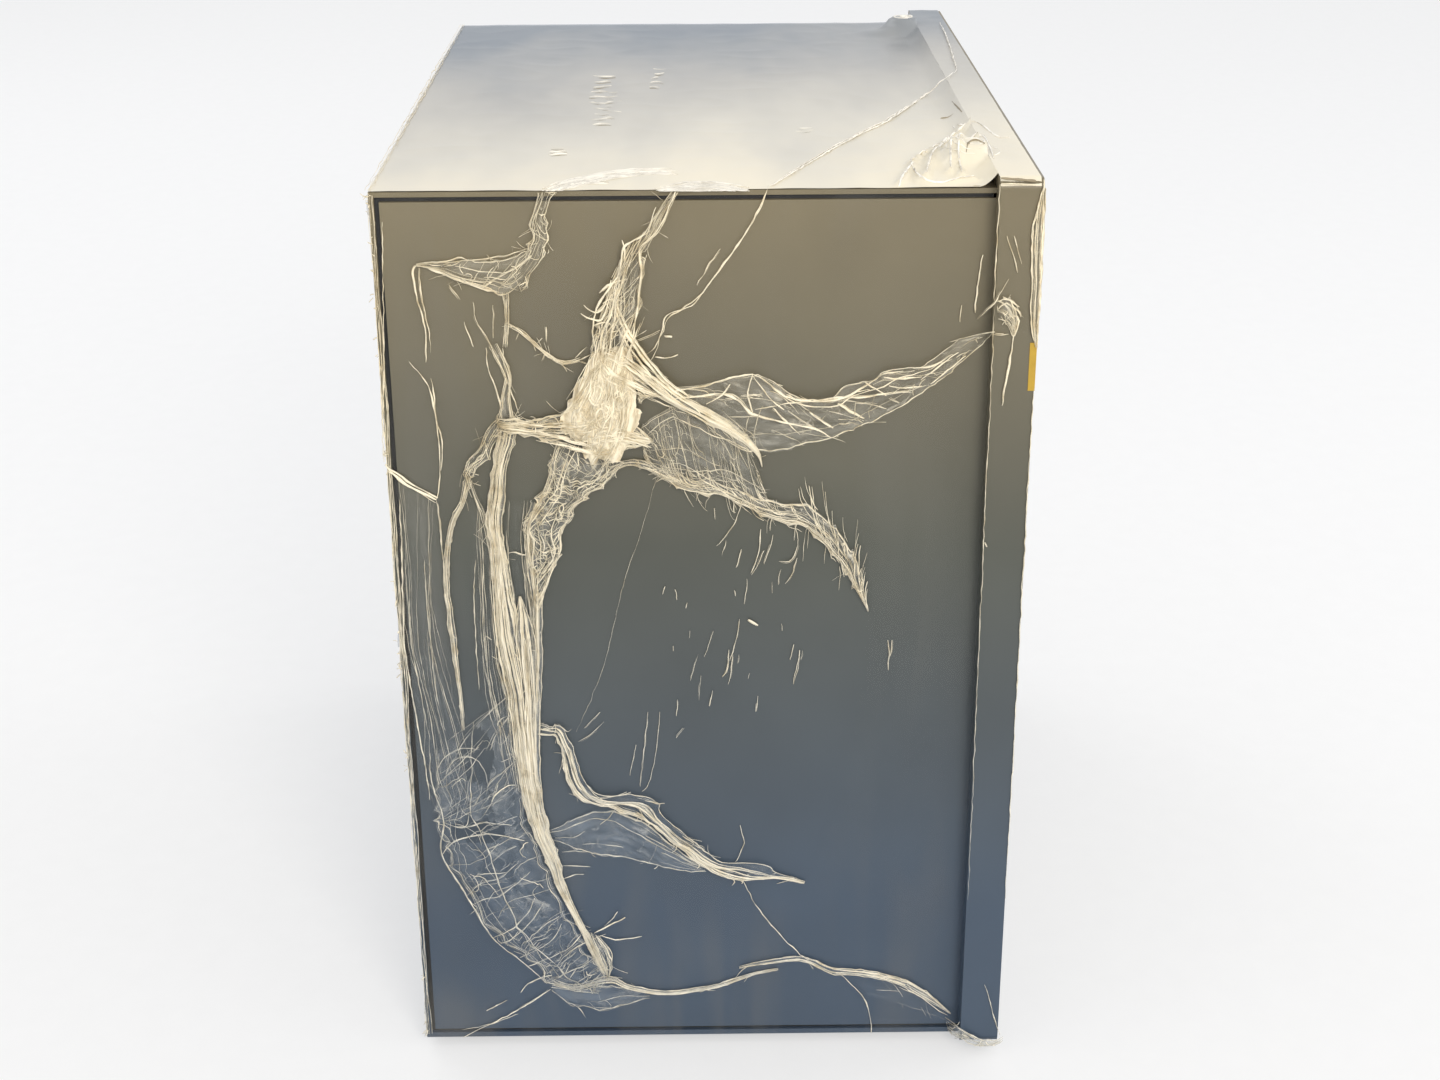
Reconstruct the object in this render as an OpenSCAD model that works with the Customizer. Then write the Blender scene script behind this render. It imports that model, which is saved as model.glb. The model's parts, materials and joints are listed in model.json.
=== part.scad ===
// Filament dryer box: an upright metal cabinet with a heated chamber for two spools.
// X runs across the front, the door faces -Y and Z is up. The feet stand on z = 0.
// The origin is at the bottom centre of the whole box, its handle and its vent tab.

/* [Body] */
// Width of the sheet metal body
body_w = 370; // [350:1:410]
// Depth of the body behind the front frame
body_d = 244; // [236:1:290]
// Height of the body, from the base tray to the top panel
body_h = 395; // [385:1:440]
// Thickness of the outer sheets
sheet_t = 2; // [1.2:0.1:2.5]
// Thickness of the base tray
base_t = 2.5; // [1.5:0.1:3.5]
// Shadow gap round each side panel
panel_gap = 2; // [1:0.1:3]
// Leg of the inner angle frame
angle_leg = 12; // [9:0.5:13]
// Sheet thickness of the inner angle frame
angle_t = 1.5; // [1:0.1:2.5]

/* [Feet] */
// Height of a foot
foot_h = 5; // [4:0.5:10]
// Radius of a foot
foot_r = 9; // [7:0.5:14]
// Distance of a foot from the body's sides
foot_in = 32; // [24:1:45]
// Shank radius of a foot screw
foot_screw_r = 2; // [1.5:0.1:2.5]

/* [Front frame] */
// Depth of the front frame
frame_t = 17; // [16:0.5:22]
// How far the frame stands out past each side of the body
frame_side = 9; // [4:0.5:14]
// How far the frame stands up past the top of the body
frame_top = 5.5; // [2:0.5:10]
// Width of the frame's stiles and top rail
stile_w = 14; // [13:0.5:16]
// Height of the control strip below the door
strip_h = 87; // [84:1:95]
// Front wall of the control strip
strip_wall = 3; // [2:0.5:4]
// Corner radius of the frame
frame_r = 4; // [2:0.5:8]

/* [Door] */
// Gap round the door
door_gap = 1.5; // [1.2:0.1:2.5]
// Depth of the door frame
door_t = 11; // [11:0.5:12]
// Depth of the door's inner panel
door_panel_t = 3; // [2:0.5:3.5]
// Front wall of the door frame
door_wall = 2.5; // [2:0.5:4]
// Border of the door round its window
door_border = 36; // [30:1:46]
// Thickness of the window
glass_t = 4; // [3:0.5:5]
// How far the window runs under the border
glass_lap = 8; // [5:0.5:12]
// Radius of the door's front edges
door_edge_r = 4; // [2:0.5:4]
// Hinge axis behind the front face
pivot_y = 5; // [4.5:0.1:5]
// Hinge axis inside the door's left edge
pivot_x = 6; // [6:0.1:7]
// Radius of a hinge pin
pin_r = 2.5; // [1.5:0.1:2.8]
// Reach of a hinge pin into the door
pin_reach = 9; // [6:0.5:14]
// Wall of a hinge bush
bush_wall = 1.4; // [0.8:0.1:1.5]
// Width of the door seal
seal_w = 6; // [4:0.5:7]
// Distance of the seal from the door's edge
seal_in = 6.5; // [6.5:0.5:8]

/* [Handle] */
// Length of the handle bar
handle_l = 130; // [90:1:180]
// Radius of the handle bar
handle_r = 6; // [4:0.5:7]
// How far the handle stands out of the door
handle_out = 30; // [24:0.5:40]
// Radius of a handle post
post_r = 4.5; // [3:0.5:5.5]
// Distance of the handle from the door's right edge
handle_in = 18; // [14:0.5:22]

/* [Magnetic catch] */
// Length of a magnet
magnet_l = 20; // [10:1:30]
// Width of a magnet
magnet_w = 5; // [3:0.5:5]
// Thickness of a strike plate
strike_t = 1; // [0.5:0.1:1.2]
// Gap between magnet and strike plate
magnet_gap = 0.5; // [0.3:0.1:1]

/* [Chamber] */
// Space between the outer sheets and the chamber's rear wall
rear_space = 16; // [16:0.5:24]
// Thickness of the liner
liner_t = 1; // [0.6:0.1:1.5]
// Air left between insulation and outer sheets
slab_gap = 1; // [0.5:0.5:3]
// Radius of the air holes in the chamber floor
air_hole_r = 3; // [2:0.5:4]

/* [Rollers] */
// Radius of a roller sleeve
roller_r = 11; // [9:0.5:13]
// Radius of a roller shaft
shaft_r = 4; // [3:0.5:5]
// Distance between the two roller axes
roller_span = 110; // [90:1:130]
// Height of the roller axes above the chamber floor
roller_lift = 24; // [22:1:34]
// Outer radius of a bearing
bearing_r = 8; // [7.5:0.5:10]
// Width of a bearing
bearing_w = 5; // [4:0.5:6]
// Thickness of a roller bracket
bracket_t = 8; // [7.5:0.5:12]
// Gap between the two sleeves of a roller
sleeve_split = 6; // [3:1:20]
// Gap between a sleeve and its bracket
sleeve_gap = 2; // [1:0.5:5]

/* [Fan and heater] */
// Width of the fan
fan_w = 80; // [60:1:84]
// Thickness of the fan
fan_t = 25; // [15:1:26]
// Wall between the fan's bore and its edge
fan_wall = 2; // [1.5:0.5:4]
// Radius of the fan's hub
fan_hub_r = 16; // [12:1:20]
// Radius of the fan's axle
fan_axle_r = 1.5; // [1:0.1:3]
// Fan centre in front of the chamber's rear wall
fan_back = 62; // [56:1:72]
// Wall of the air duct
duct_wall = 2; // [1.2:0.2:3]
// Height of the air duct
duct_h = 40; // [34:1:44]
// Height of the heater core
heater_h = 18; // [10:1:20]

/* [Power supply] */
// Width of the power supply
supply_w = 92; // [80:1:98]
// Depth of the power supply
supply_d = 100; // [80:1:104]
// Height of the power supply
supply_h = 38; // [28:1:44]
// Distance of the power supply from the rear sheet
supply_rear = 40; // [34:1:44]
// Distance of the power supply from the body's left side
supply_in = 22; // [20:1:28]

/* [Controls] */
// Left edge of the fascia, from the middle of the box
fascia_x0 = -158; // [-162:1:-150]
// Right edge of the fascia, from the middle of the box
fascia_x1 = 36; // [32:1:42]
// Height of the fascia
fascia_h = 54; // [48:1:60]
// Width of the display
display_w = 66; // [50:1:70]
// Height of the display
display_h = 32; // [24:1:36]
// Radius of a key
key_r = 5; // [4:0.5:6]
// Distance between key centres
key_pitch = 16; // [15:1:17]
// Travel of a key
key_travel = 0.8; // [0.3:0.1:0.8]
// How far a key stands out
key_out = 1.2; // [1:0.1:2]
// Radius of the menu knob
knob_r = 9; // [7:0.5:11]
// Height of the menu knob
knob_h = 13; // [8:0.5:14]
// Radius of the knob's stem
stem_r = 3; // [2:0.1:3.5]
// Distance of the control board behind the front wall
board_y = 14; // [14:0.5:16]
// Thickness of the control board
board_t = 1.6; // [1:0.1:2]

/* [Desiccant drawer] */
// Width of the drawer
drawer_w = 104; // [90:1:110]
// Height of the drawer
drawer_h = 48; // [40:1:54]
// Depth of the drawer
drawer_d = 110; // [90:1:116]
// Wall of the drawer
drawer_wall = 2; // [1.5:0.1:3]
// Front wall of the drawer
drawer_front_t = 12; // [11:0.5:14]
// Middle of the drawer, from the middle of the box
drawer_x = 112; // [110:1:114]
// Wall of the drawer's sleeve
sleeve_wall = 1.5; // [1:0.1:2]

/* [Rear] */
// Width of the mains inlet's flange
inlet_w = 48; // [44:1:52]
// Height of the mains inlet's flange
inlet_h = 26; // [24:1:30]
// Thickness of the mains inlet's flange
inlet_t = 3; // [2:0.5:4]
// Width of the inlet's flange beside its body
inlet_flange = 10; // [9:0.5:11]
// Height of the inlet's flange above and below its body
inlet_rim = 3; // [2:0.5:4]
// Wall of the inlet's body
inlet_wall = 2; // [1.5:0.5:2.5]
// Length of the inlet's body inside the box
inlet_l = 22; // [20:1:25]
// Thickness of the inlet's back
inlet_back = 6; // [4:1:8]
// Distance between two pins of the inlet
inlet_pitch = 7; // [6:0.5:7.5]
// Middle of the inlet, left of the middle of the box
inlet_x = 128; // [124:1:132]
// Height of the inlet and the switch above the base tray
inlet_z = 62; // [60:1:66]
// Width of the switch's flange
switch_w = 21; // [19:0.5:24]
// Height of the switch's flange
switch_h = 30; // [28:0.5:34]
// Middle of the switch, left of the middle of the box
switch_x = 84; // [80:1:88]
// Tilt of the power rocker to each side
rocker_tilt = 8; // [4:0.5:10]
// Radius of the vent shutter
vent_r = 26; // [23:1:32]
// Radius of a vent hole
vent_hole_r = 5.5; // [3:0.5:6]
// Distance of the vent holes from the vent's middle
vent_ring_r = 14.5; // [13:0.5:16]
// Number of vent holes
vent_holes = 5; // [3:1:5]
// Thickness of the vent shutter
vent_t = 1.6; // [1:0.1:2.5]
// Middle of the vent, right of the middle of the box
vent_x = 105; // [70:1:115]
// Distance of the vent below the top of the chamber
vent_down = 45; // [42:1:60]
// How far the vent's tab stands out of the rear panel
rear_out = 6; // [5:0.5:10]

/* [Outlets] */
// Distance of an outlet from the chamber's side wall
outlet_in = 19; // [17:1:40]
// Distance of an outlet behind the front frame
outlet_y = 6.5; // [6.5:0.5:8]
// Radius of an outlet's body
outlet_r = 4.2; // [4:0.1:4.6]
// Height of an outlet's body above the top panel
outlet_h = 6.5; // [5:0.5:12]
// Radius of an outlet's threaded stem
outlet_stem_r = 3; // [2.8:0.1:3]
// Radius of the tube that plugs into an outlet
tube_r = 2; // [1.5:0.05:2]
// Radius of the filament bore below the tube
filament_r = 1.2; // [1:0.05:1.4]
// Depth of the tube's seat below the top panel
tube_seat = 8; // [6:0.5:9]
// Radius of an outlet's nut over its corners
outlet_nut_r = 5.5; // [5:0.1:6]
// Height of an outlet's nut
outlet_nut_h = 4; // [3:0.5:5]
// Length of a collet below its head
collet_l = 4; // [3:0.5:5]
// Travel of an outlet's collet
collet_travel = 0.7; // [0.4:0.1:1]

/* [Screws] */
// Head radius of a rear screw
screw_head_r = 3; // [2:0.1:3.5]
// Shank radius of a rear screw
screw_r = 1.5; // [1:0.1:1.8]
// Shank length of a rear screw
screw_l = 6; // [4:0.5:8]

/* [Label and film] */
// Height of the edge label above the bottom of the body
label_z = 315; // [250:1:340]
// Height of the edge label
label_h = 20; // [10:1:30]
// Width of the edge label on the front of the frame
label_w = 11; // [5:0.5:12]
// Thickness of the edge label
label_t = 0.3; // [0.2:0.1:0.5]
// Thickness of the wrapping film's layers
film_t = 0.4; // [0.2:0.1:0.6]
// Width of the film's band on the frame's edge
film_band = 11; // [6:0.5:13]
// Width of the film's turn under the base tray
film_turn = 14; // [8:1:20]
// Radius of the tear in the film's left side
film_tear_r = 62; // [30:1:80]
// Distance of the tear's middle behind the front frame
film_tear_y = 110; // [100:1:150]
// Height of the tear's middle above the bottom of the body
film_tear_z = 175; // [120:1:260]

/* [Clearances] */
// Radial clearance of a turning fit
run_fit = 0.05; // [0.02:0.01:0.1]
// Gap round pieces that are set into a cutout
set_gap = 0.3; // [0.2:0.05:0.5]
// Gap round pieces that slide
slide_gap = 0.6; // [0.4:0.1:0.8]
// Gap between a piece and the face that it moves over
face_gap = 0.3; // [0.2:0.05:0.5]

/* [Hidden] */
$fn = 48;
eps = 0.01;
steel_grey = "#5d6064";
frame_grey = "#4c4f53";

// Places along Y, from the front to the rear
total_d = handle_out + frame_t + body_d + rear_out;
y_front = handle_out - total_d / 2;
y_body = y_front + frame_t;
y_rear = y_body + body_d;
y_sheet = y_rear - sheet_t;
y_liner = y_sheet - rear_space;

// Places along X and Z
x_side = body_w / 2;
x_frame = x_side + frame_side;
z_base = foot_h;
z_floor = z_base + base_t;
z_top = z_base + body_h;
z_frame = z_top + frame_top;

// The door, its opening and the chamber behind it
x_open = x_frame - stile_w;
z_open = [z_base + strip_h, z_frame - stile_w];
x_door = x_open - door_gap;
z_door = [z_open[0] + door_gap, z_open[1] - door_gap];
seal_out = x_door - seal_in;
x_liner = seal_out - seal_w;
z_liner = [z_door[0] + seal_in + seal_w, z_door[1] - seal_in - seal_w];
y_door_back = y_front + door_t + door_panel_t;
x_pivot = -x_door + pivot_x;
y_pivot = y_front + pivot_y;
x_glass = x_door - door_border;
z_glass = [z_door[0] + door_border, z_door[1] - door_border];
x_handle = x_door - handle_in;
z_handle = (z_door[0] + z_door[1]) / 2;
x_flange = x_side - sheet_t - face_gap;
z_flange = [z_liner[0] - seal_w - seal_in, z_liner[1] + seal_w + seal_in];
cavity_x = x_side - sheet_t - x_liner - liner_t;
cavity_z = z_top - sheet_t - z_liner[1] - liner_t;
hinge_bar = 2 * pivot_x;

// Rollers
y_cradle = (y_body + y_liner) / 2;
z_roller = z_liner[0] + roller_lift;
x_bracket = x_liner - bracket_t;
shaft_end = x_bracket + bearing_w - face_gap;

// Fan, duct and heater, from the chamber floor down
y_fan = y_liner - fan_back;
z_duct = [z_liner[0] - liner_t - duct_h, z_liner[0] - liner_t];
z_fan = [z_duct[0] - fan_t, z_duct[0]];
fan_bore_r = fan_w / 2 - fan_wall;

// Controls
z_strip = [z_base + strip_wall, z_open[0] - strip_wall];
z_fascia = (z_strip[0] + z_strip[1]) / 2;
y_wall = y_front + strip_wall;
fascia_flange = 2;
y_board = y_front + board_y;
display_x = fascia_x0 + 8 + display_w / 2;
display_t = 6;
key_x = fascia_x0 + 8 + display_w + 10 + key_r;
knob_x = fascia_x1 - 8 - knob_r;
key_back = y_front + 8.2;

// Drawer
drawer_back = y_front + drawer_d;
drawer_span = [drawer_x - drawer_w / 2, drawer_x + drawer_w / 2];
drawer_rise = [z_fascia - drawer_h / 2, z_fascia + drawer_h / 2];

// Rear
z_inlet = z_floor + inlet_z;
z_vent = z_liner[1] - vent_down;
y_outlet = y_body + outlet_y;
outlet_x = x_liner - outlet_in;
vent_axle_r = 2.5;

// Box between two corners, each axis given as [low, high]
module span(x, y, z)
    translate([x[0], y[0], z[0]]) cube([x[1] - x[0], y[1] - y[0], z[1] - z[0]]);
module rod_x(r, x, y, z) translate([x[0], y, z]) rotate([0, 90, 0]) cylinder(r = r, h = x[1] - x[0]);
module rod_y(r, x, y, z) translate([x, y[0], z]) rotate([-90, 0, 0]) cylinder(r = r, h = y[1] - y[0]);
module rod_z(r, x, y, z) translate([x, y, z[0]]) cylinder(r = r, h = z[1] - z[0]);
function both(v) = [-v, v];
function wide(s, by) = [s[0] - by, s[1] + by];

// Upright plate with round corners, in the XZ plane
module round_plate(x, z, y, r)
    translate([0, y[1], 0]) rotate([90, 0, 0]) linear_extrude(y[1] - y[0]) {
        translate([x[0] + r, z[0]]) square([x[1] - x[0] - 2 * r, z[1] - z[0]]);
        translate([x[0], z[0] + r]) square([x[1] - x[0], z[1] - z[0] - 2 * r]);
        for (cx = [x[0] + r, x[1] - r], cz = [z[0] + r, z[1] - r]) translate([cx, cz]) circle(r);
    }

// ---- Outer sheets and frame ----

foot_y = [y_body + foot_in, y_rear - foot_in];
module at_feet() for (x = both(x_side - foot_in), y = foot_y) translate([x, y, 0]) children();

module base_tray() color(steel_grey) difference() {
    span(both(x_side), [y_body, y_rear], [z_base, z_floor]);
    at_feet() translate([0, 0, z_base - eps]) cylinder(r = foot_screw_r, h = base_t + 2 * eps);
}

module feet() color("#1b1b1c") at_feet() difference() {
    cylinder(r1 = foot_r - 1, r2 = foot_r, h = foot_h);
    translate([0, 0, -eps]) cylinder(r = 2 * foot_screw_r, h = foot_h / 2 + eps);
    translate([0, 0, -eps]) cylinder(r = foot_screw_r, h = foot_h + 2 * eps);
}

module foot_screws() color("silver") at_feet() {
    translate([0, 0, foot_h / 2 - 1.5]) cylinder(r = 2 * foot_screw_r - set_gap, h = 1.5);
    translate([0, 0, foot_h / 2 - eps]) cylinder(r = foot_screw_r, h = foot_h / 2 + base_t + 3);
}

module left_panel() mirror([1, 0, 0]) right_panel();
module right_panel() color(steel_grey)
    span([x_side - sheet_t, x_side], [y_body, y_sheet - panel_gap],
         [z_floor + panel_gap, z_top - sheet_t - panel_gap]);

module top_panel() color(steel_grey) difference() {
    span(both(x_side), [y_body, y_rear], [z_top - sheet_t, z_top]);
    for (x = both(outlet_x)) rod_z(outlet_stem_r, x, y_outlet, [z_top - sheet_t - 1, z_top + 1]);
}

// Screw places on the rear panel, in its top, bottom and side edges
rear_in = angle_leg / 2 + sheet_t;
rear_places = [
    for (x = [-x_side + rear_in, 0, x_side - rear_in], z = [z_floor + rear_in, z_top - rear_in]) [x, z],
    for (x = both(x_side - rear_in)) [x, (z_floor + z_top) / 2]
];
module at_rear_screws() for (p = rear_places) translate([p[0], 0, p[1]]) children();

module rear_panel() color(steel_grey) difference() {
    span(both(x_side), [y_sheet, y_rear], [z_floor, z_top - sheet_t]);
    at_rear_screws() rod_y(screw_r, 0, [y_sheet - 1, y_rear + 1], 0);
    span(wide([-inlet_x, -inlet_x], inlet_w / 2 - inlet_flange + set_gap), [y_sheet - 1, y_rear + 1],
         wide([z_inlet, z_inlet], inlet_h / 2 - inlet_rim + set_gap));
    span(wide([-switch_x, -switch_x], switch_w / 2 - 2 + set_gap), [y_sheet - 1, y_rear + 1],
         wide([z_inlet, z_inlet], switch_h / 2 - 2 + set_gap));
    at_vent() vent_pattern([-sheet_t - 1, 1]);
    at_vent() rod_y(vent_axle_r, 0, [-sheet_t - 1, 1], 0);
}

module rear_screws() color("silver") at_rear_screws() {
    rod_y(screw_head_r, 0, [y_rear, y_rear + 1.6], 0);
    rod_y(screw_r, 0, [y_rear - screw_l, y_rear + eps], 0);
}

// Angles welded to a skeleton inside the sheets
module inner_frame() color("#8b8e90") difference() {
    union() for (side = [-1, 1]) {
        x_out = x_side - sheet_t;
        for (end = [0, 1]) {
            y0 = end == 0 ? y_body + liner_t : y_sheet - angle_leg;
            y_leg = end == 0 ? y_body + liner_t : y_sheet - angle_t;
            angle_z = [z_floor, z_top - sheet_t];
            span(sided(side, [x_out - angle_t, x_out]), [y0, y0 + angle_leg], angle_z);
            span(sided(side, [x_out - angle_leg, x_out]), [y_leg, y_leg + angle_t], angle_z);
        }
        for (z = [z_floor, z_top - sheet_t - angle_leg])
            span(sided(side, [x_out - angle_t, x_out]), [y_body + liner_t, y_sheet], [z, z + angle_leg]);
        for (z = [z_floor, z_top - sheet_t - angle_t]) {
            span(sided(side, [x_out - angle_leg, x_out]), [y_body + liner_t, y_sheet], [z, z + angle_t]);
            span(both(x_out), [y_sheet - angle_leg, y_sheet], [z, z + angle_t]);
            span(both(x_out), [y_body + liner_t, y_body + liner_t + angle_leg], [z, z + angle_t]);
        }
        span(both(x_out), [y_sheet - angle_t, y_sheet], [z_top - sheet_t - angle_leg, z_top - sheet_t]);
        span(both(x_out), [y_sheet - angle_t, y_sheet], [z_floor, z_floor + angle_leg]);
    }
    for (x = both(outlet_x)) rod_z(outlet_stem_r + set_gap, x, y_outlet, [z_top - 20, z_top]);
    at_rear_screws() rod_y(screw_r, 0, [y_rear - 2 * screw_l, y_rear], 0);
    at_feet() cylinder(r = foot_screw_r + set_gap, h = z_floor + 5);
}
function sided(side, s) = side > 0 ? s : [-s[1], -s[0]];

module front_frame() color(frame_grey) difference() {
    round_plate(both(x_frame), [z_base, z_frame], [y_front, y_body], frame_r);
    span(both(x_open), [y_front - 1, y_body + 1], z_open);
    span(both(x_side - sheet_t - strip_wall), [y_wall, y_body + 1], z_strip);
    span([fascia_x0 - set_gap, fascia_x1 + set_gap], [y_front - 1, y_wall + 1],
         wide([z_fascia, z_fascia], fascia_h / 2 + set_gap));
    span(wide(drawer_span, slide_gap), [y_front - 1, y_wall + 1], wide(drawer_rise, slide_gap));
    for (z = [z_open[0] - 6, z_open[1] - 1]) rod_z(pin_r, x_pivot, y_pivot, [z, z + 7]);
}

// ---- Chamber ----

module chamber_liner() color("#c9ccce") difference() {
    union() {
        span(both(x_liner + liner_t), [y_body, y_liner + liner_t], wide(z_liner, liner_t));
        span(both(x_flange), [y_body, y_body + liner_t], z_flange);
    }
    span(both(x_liner), [y_body - 1, y_liner], z_liner);
    for (ix = [-3:3], iy = [-3:3]) floor_hole(ix * fan_w / 8, y_fan + iy * fan_w / 8);
    for (ix = [-9:9], iy = [0:2]) floor_hole(ix * 14, y_body + 16 + iy * 12);
    translate([vent_x, 0, z_vent]) rod_y(vent_r - 4, 0, [y_liner - 1, y_liner + liner_t + 1], 0);
    for (x = both(outlet_x)) rod_z(outlet_stem_r, x, y_outlet, wide([z_liner[1], z_liner[1]], 3));
    rod_y(4, 0, [y_liner - 1, y_liner + liner_t + 1], z_vent);
}
module floor_hole(x, y) rod_z(air_hole_r, x, y, wide([z_liner[0], z_liner[0]], 3));

slab_in = angle_leg + 1;
slab_y = [y_body + slab_in + 2, y_sheet - slab_in];
slab_z = [z_liner[0] - liner_t, z_top - sheet_t - slab_in];
module side_insulation() color("#d8cfae") for (side = [-1, 1])
    span(sided(side, [x_liner + liner_t, x_side - sheet_t - slab_gap]), slab_y, slab_z);

module top_insulation() color("#d8cfae")
    span(both(x_liner - 2), slab_y, [z_liner[1] + liner_t, z_top - sheet_t - slab_gap]);

module rear_insulation() color("#d8cfae") difference() {
    span(both(x_liner - 2), [y_liner + liner_t, y_sheet - slab_gap], [slab_z[0], z_liner[1]]);
    translate([vent_x, 0, z_vent]) rod_y(vent_r - 2 + set_gap, 0, [y_liner, y_sheet], 0);
    rod_y(4 + set_gap, 0, [y_liner, y_liner + rear_space / 2], z_vent);
}

module humidity_sensor() color("#e8e8e6") {
    rod_y(4, 0, [y_liner, y_liner + liner_t + 4], z_vent);
    difference() {
        rod_y(8, 0, [y_liner - 10, y_liner], z_vent);
        for (i = [-2:2]) span([-1, 1], [y_liner - 11, y_liner - 3], wide([z_vent + i * 2.8, z_vent + i * 2.8], 0.6));
    }
}

// ---- Vent ----

module at_vent() translate([vent_x, y_rear, z_vent]) children();
module vent_pattern(y) for (i = [0:vent_holes - 1]) rotate([0, i * 360 / vent_holes, 0])
    rod_y(vent_hole_r, 0, y, vent_ring_r);

module vent_pipe() color("#c9ccce") difference() {
    translate([vent_x, 0, z_vent]) rod_y(vent_r - 2, 0, [y_liner + liner_t, y_sheet], 0);
    translate([vent_x, 0, z_vent]) rod_y(vent_r - 4, 0, [y_liner, y_sheet + 1], 0);
}

module vent_rivet() color("silver") at_vent() {
    rod_y(vent_axle_r, 0, [-sheet_t, face_gap + vent_t + face_gap + eps], 0);
    rod_y(2 * vent_axle_r, 0, [2 * face_gap + vent_t, 2 * face_gap + vent_t + 1.5], 0);
}

module vent_shutter() color(frame_grey) at_vent() difference() {
    union() {
        rod_y(vent_r, 0, [face_gap, face_gap + vent_t], 0);
        span([-2, 2], [face_gap + vent_t - eps, rear_out], [-vent_r + 1, -vent_ring_r - vent_hole_r]);
    }
    vent_pattern([0, face_gap + vent_t + eps]);
    rod_y(vent_axle_r + run_fit, 0, [0, face_gap + vent_t + 1], 0);
}

// ---- Outlets on the top ----

outlet_bottom = z_liner[1] - outlet_nut_h - 3;
collet_head = 1.2;
module outlet(x) color("#2b2b2d") translate([x, y_outlet, 0]) difference() {
    union() {
        translate([0, 0, z_top]) cylinder(r = outlet_r, h = outlet_h);
        rod_z(outlet_stem_r, 0, 0, [outlet_bottom, z_top + eps]);
    }
    rod_z(tube_r + run_fit, 0, 0, [z_top - tube_seat, z_top + outlet_h + 1]);
    rod_z(filament_r, 0, 0, [outlet_bottom - 1, z_top - tube_seat + eps]);
    rod_z(tube_r + 1, 0, 0, [z_top + outlet_h - collet_l, z_top + outlet_h + 1]);
}
module left_outlet() outlet(-outlet_x);
module right_outlet() outlet(outlet_x);

module collet(x) color("#e5e5e3") translate([x, y_outlet, z_top + outlet_h]) difference() {
    union() {
        translate([0, 0, collet_travel + 0.1]) cylinder(r = tube_r + 1.7, h = collet_head);
        translate([0, 0, -collet_l + collet_travel + 0.1]) cylinder(r = tube_r + 0.9, h = collet_l + eps);
    }
    rod_z(tube_r + 2 * run_fit, 0, 0, [-collet_l - 1, collet_travel + collet_head + 1]);
}
module left_collet() collet(-outlet_x);
module right_collet() collet(outlet_x);

module outlet_nuts() color("silver") for (x = both(outlet_x)) translate([x, y_outlet, z_liner[1] - outlet_nut_h])
    difference() {
        cylinder(r = outlet_nut_r, h = outlet_nut_h, $fn = 6);
        translate([0, 0, -1]) cylinder(r = outlet_stem_r, h = outlet_nut_h + 2);
    }

// ---- Rollers ----

module at_rollers() for (y = both(roller_span / 2)) translate([0, y_cradle + y, z_roller]) children();

module bracket(side) color("#2f3133") difference() {
    union() {
        span(sided(side, [x_bracket, x_liner]), both_of(y_cradle, roller_span / 2 + bearing_r + 5),
             [z_liner[0], z_roller - bearing_r / 2]);
        at_rollers() rod_x(bearing_r + 4, sided(side, [x_bracket, x_liner]), 0, 0);
    }
    at_rollers() rod_x(bearing_r, sided(side, [x_bracket - 1, x_bracket + bearing_w]), 0, 0);
}
function both_of(mid, by) = [mid - by, mid + by];
module left_bracket() bracket(-1);
module right_bracket() bracket(1);

module roller_bearings() color("#a9adb0") at_rollers() for (side = [-1, 1]) difference() {
    rod_x(bearing_r, sided(side, [x_bracket, x_bracket + bearing_w]), 0, 0);
    rod_x(shaft_r + run_fit, both(x_liner), 0, 0);
}

module shaft(y) color("silver") rod_x(shaft_r, both(shaft_end), y_cradle + y, z_roller);
module sleeves(y) color("#2a2a2b") for (side = [-1, 1]) translate([0, y_cradle + y, z_roller]) difference() {
    rod_x(roller_r, sided(side, [sleeve_split / 2, x_bracket - sleeve_gap]), 0, 0);
    rod_x(shaft_r, both(x_liner), 0, 0);
}
module front_shaft() shaft(-roller_span / 2);
module front_sleeves() sleeves(-roller_span / 2);
module rear_shaft() shaft(roller_span / 2);
module rear_sleeves() sleeves(roller_span / 2);

// ---- Fan, duct and heater ----

module air_duct() color("#b9bcbe") difference() {
    union() {
        span(both(fan_w / 2), both_of(y_fan, fan_w / 2), z_duct);
        span(both(fan_w / 2 + 6), both_of(y_fan, fan_w / 2 + 6), [z_duct[1] - 1.5, z_duct[1]]);
    }
    span(both(fan_w / 2 - duct_wall), both_of(y_fan, fan_w / 2 - duct_wall), wide(z_duct, 1));
}

fin_n = 16;
core_w = fan_w - 2 * duct_wall - 2 * set_gap;
module heater_core() color("#c6c8c8") translate([0, y_fan, z_duct[0] + 8]) {
    for (y = [-core_w / 2, -2, core_w / 2 - 4]) span(both(core_w / 2), [y, y + 4], [0, heater_h]);
    for (i = [0:fin_n - 1]) translate([-core_w / 2 + (i + 0.5) * core_w / fin_n, 0, 0])
        span(both(0.4), both(core_w / 2 - 1), [0, heater_h]);
}

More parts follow.
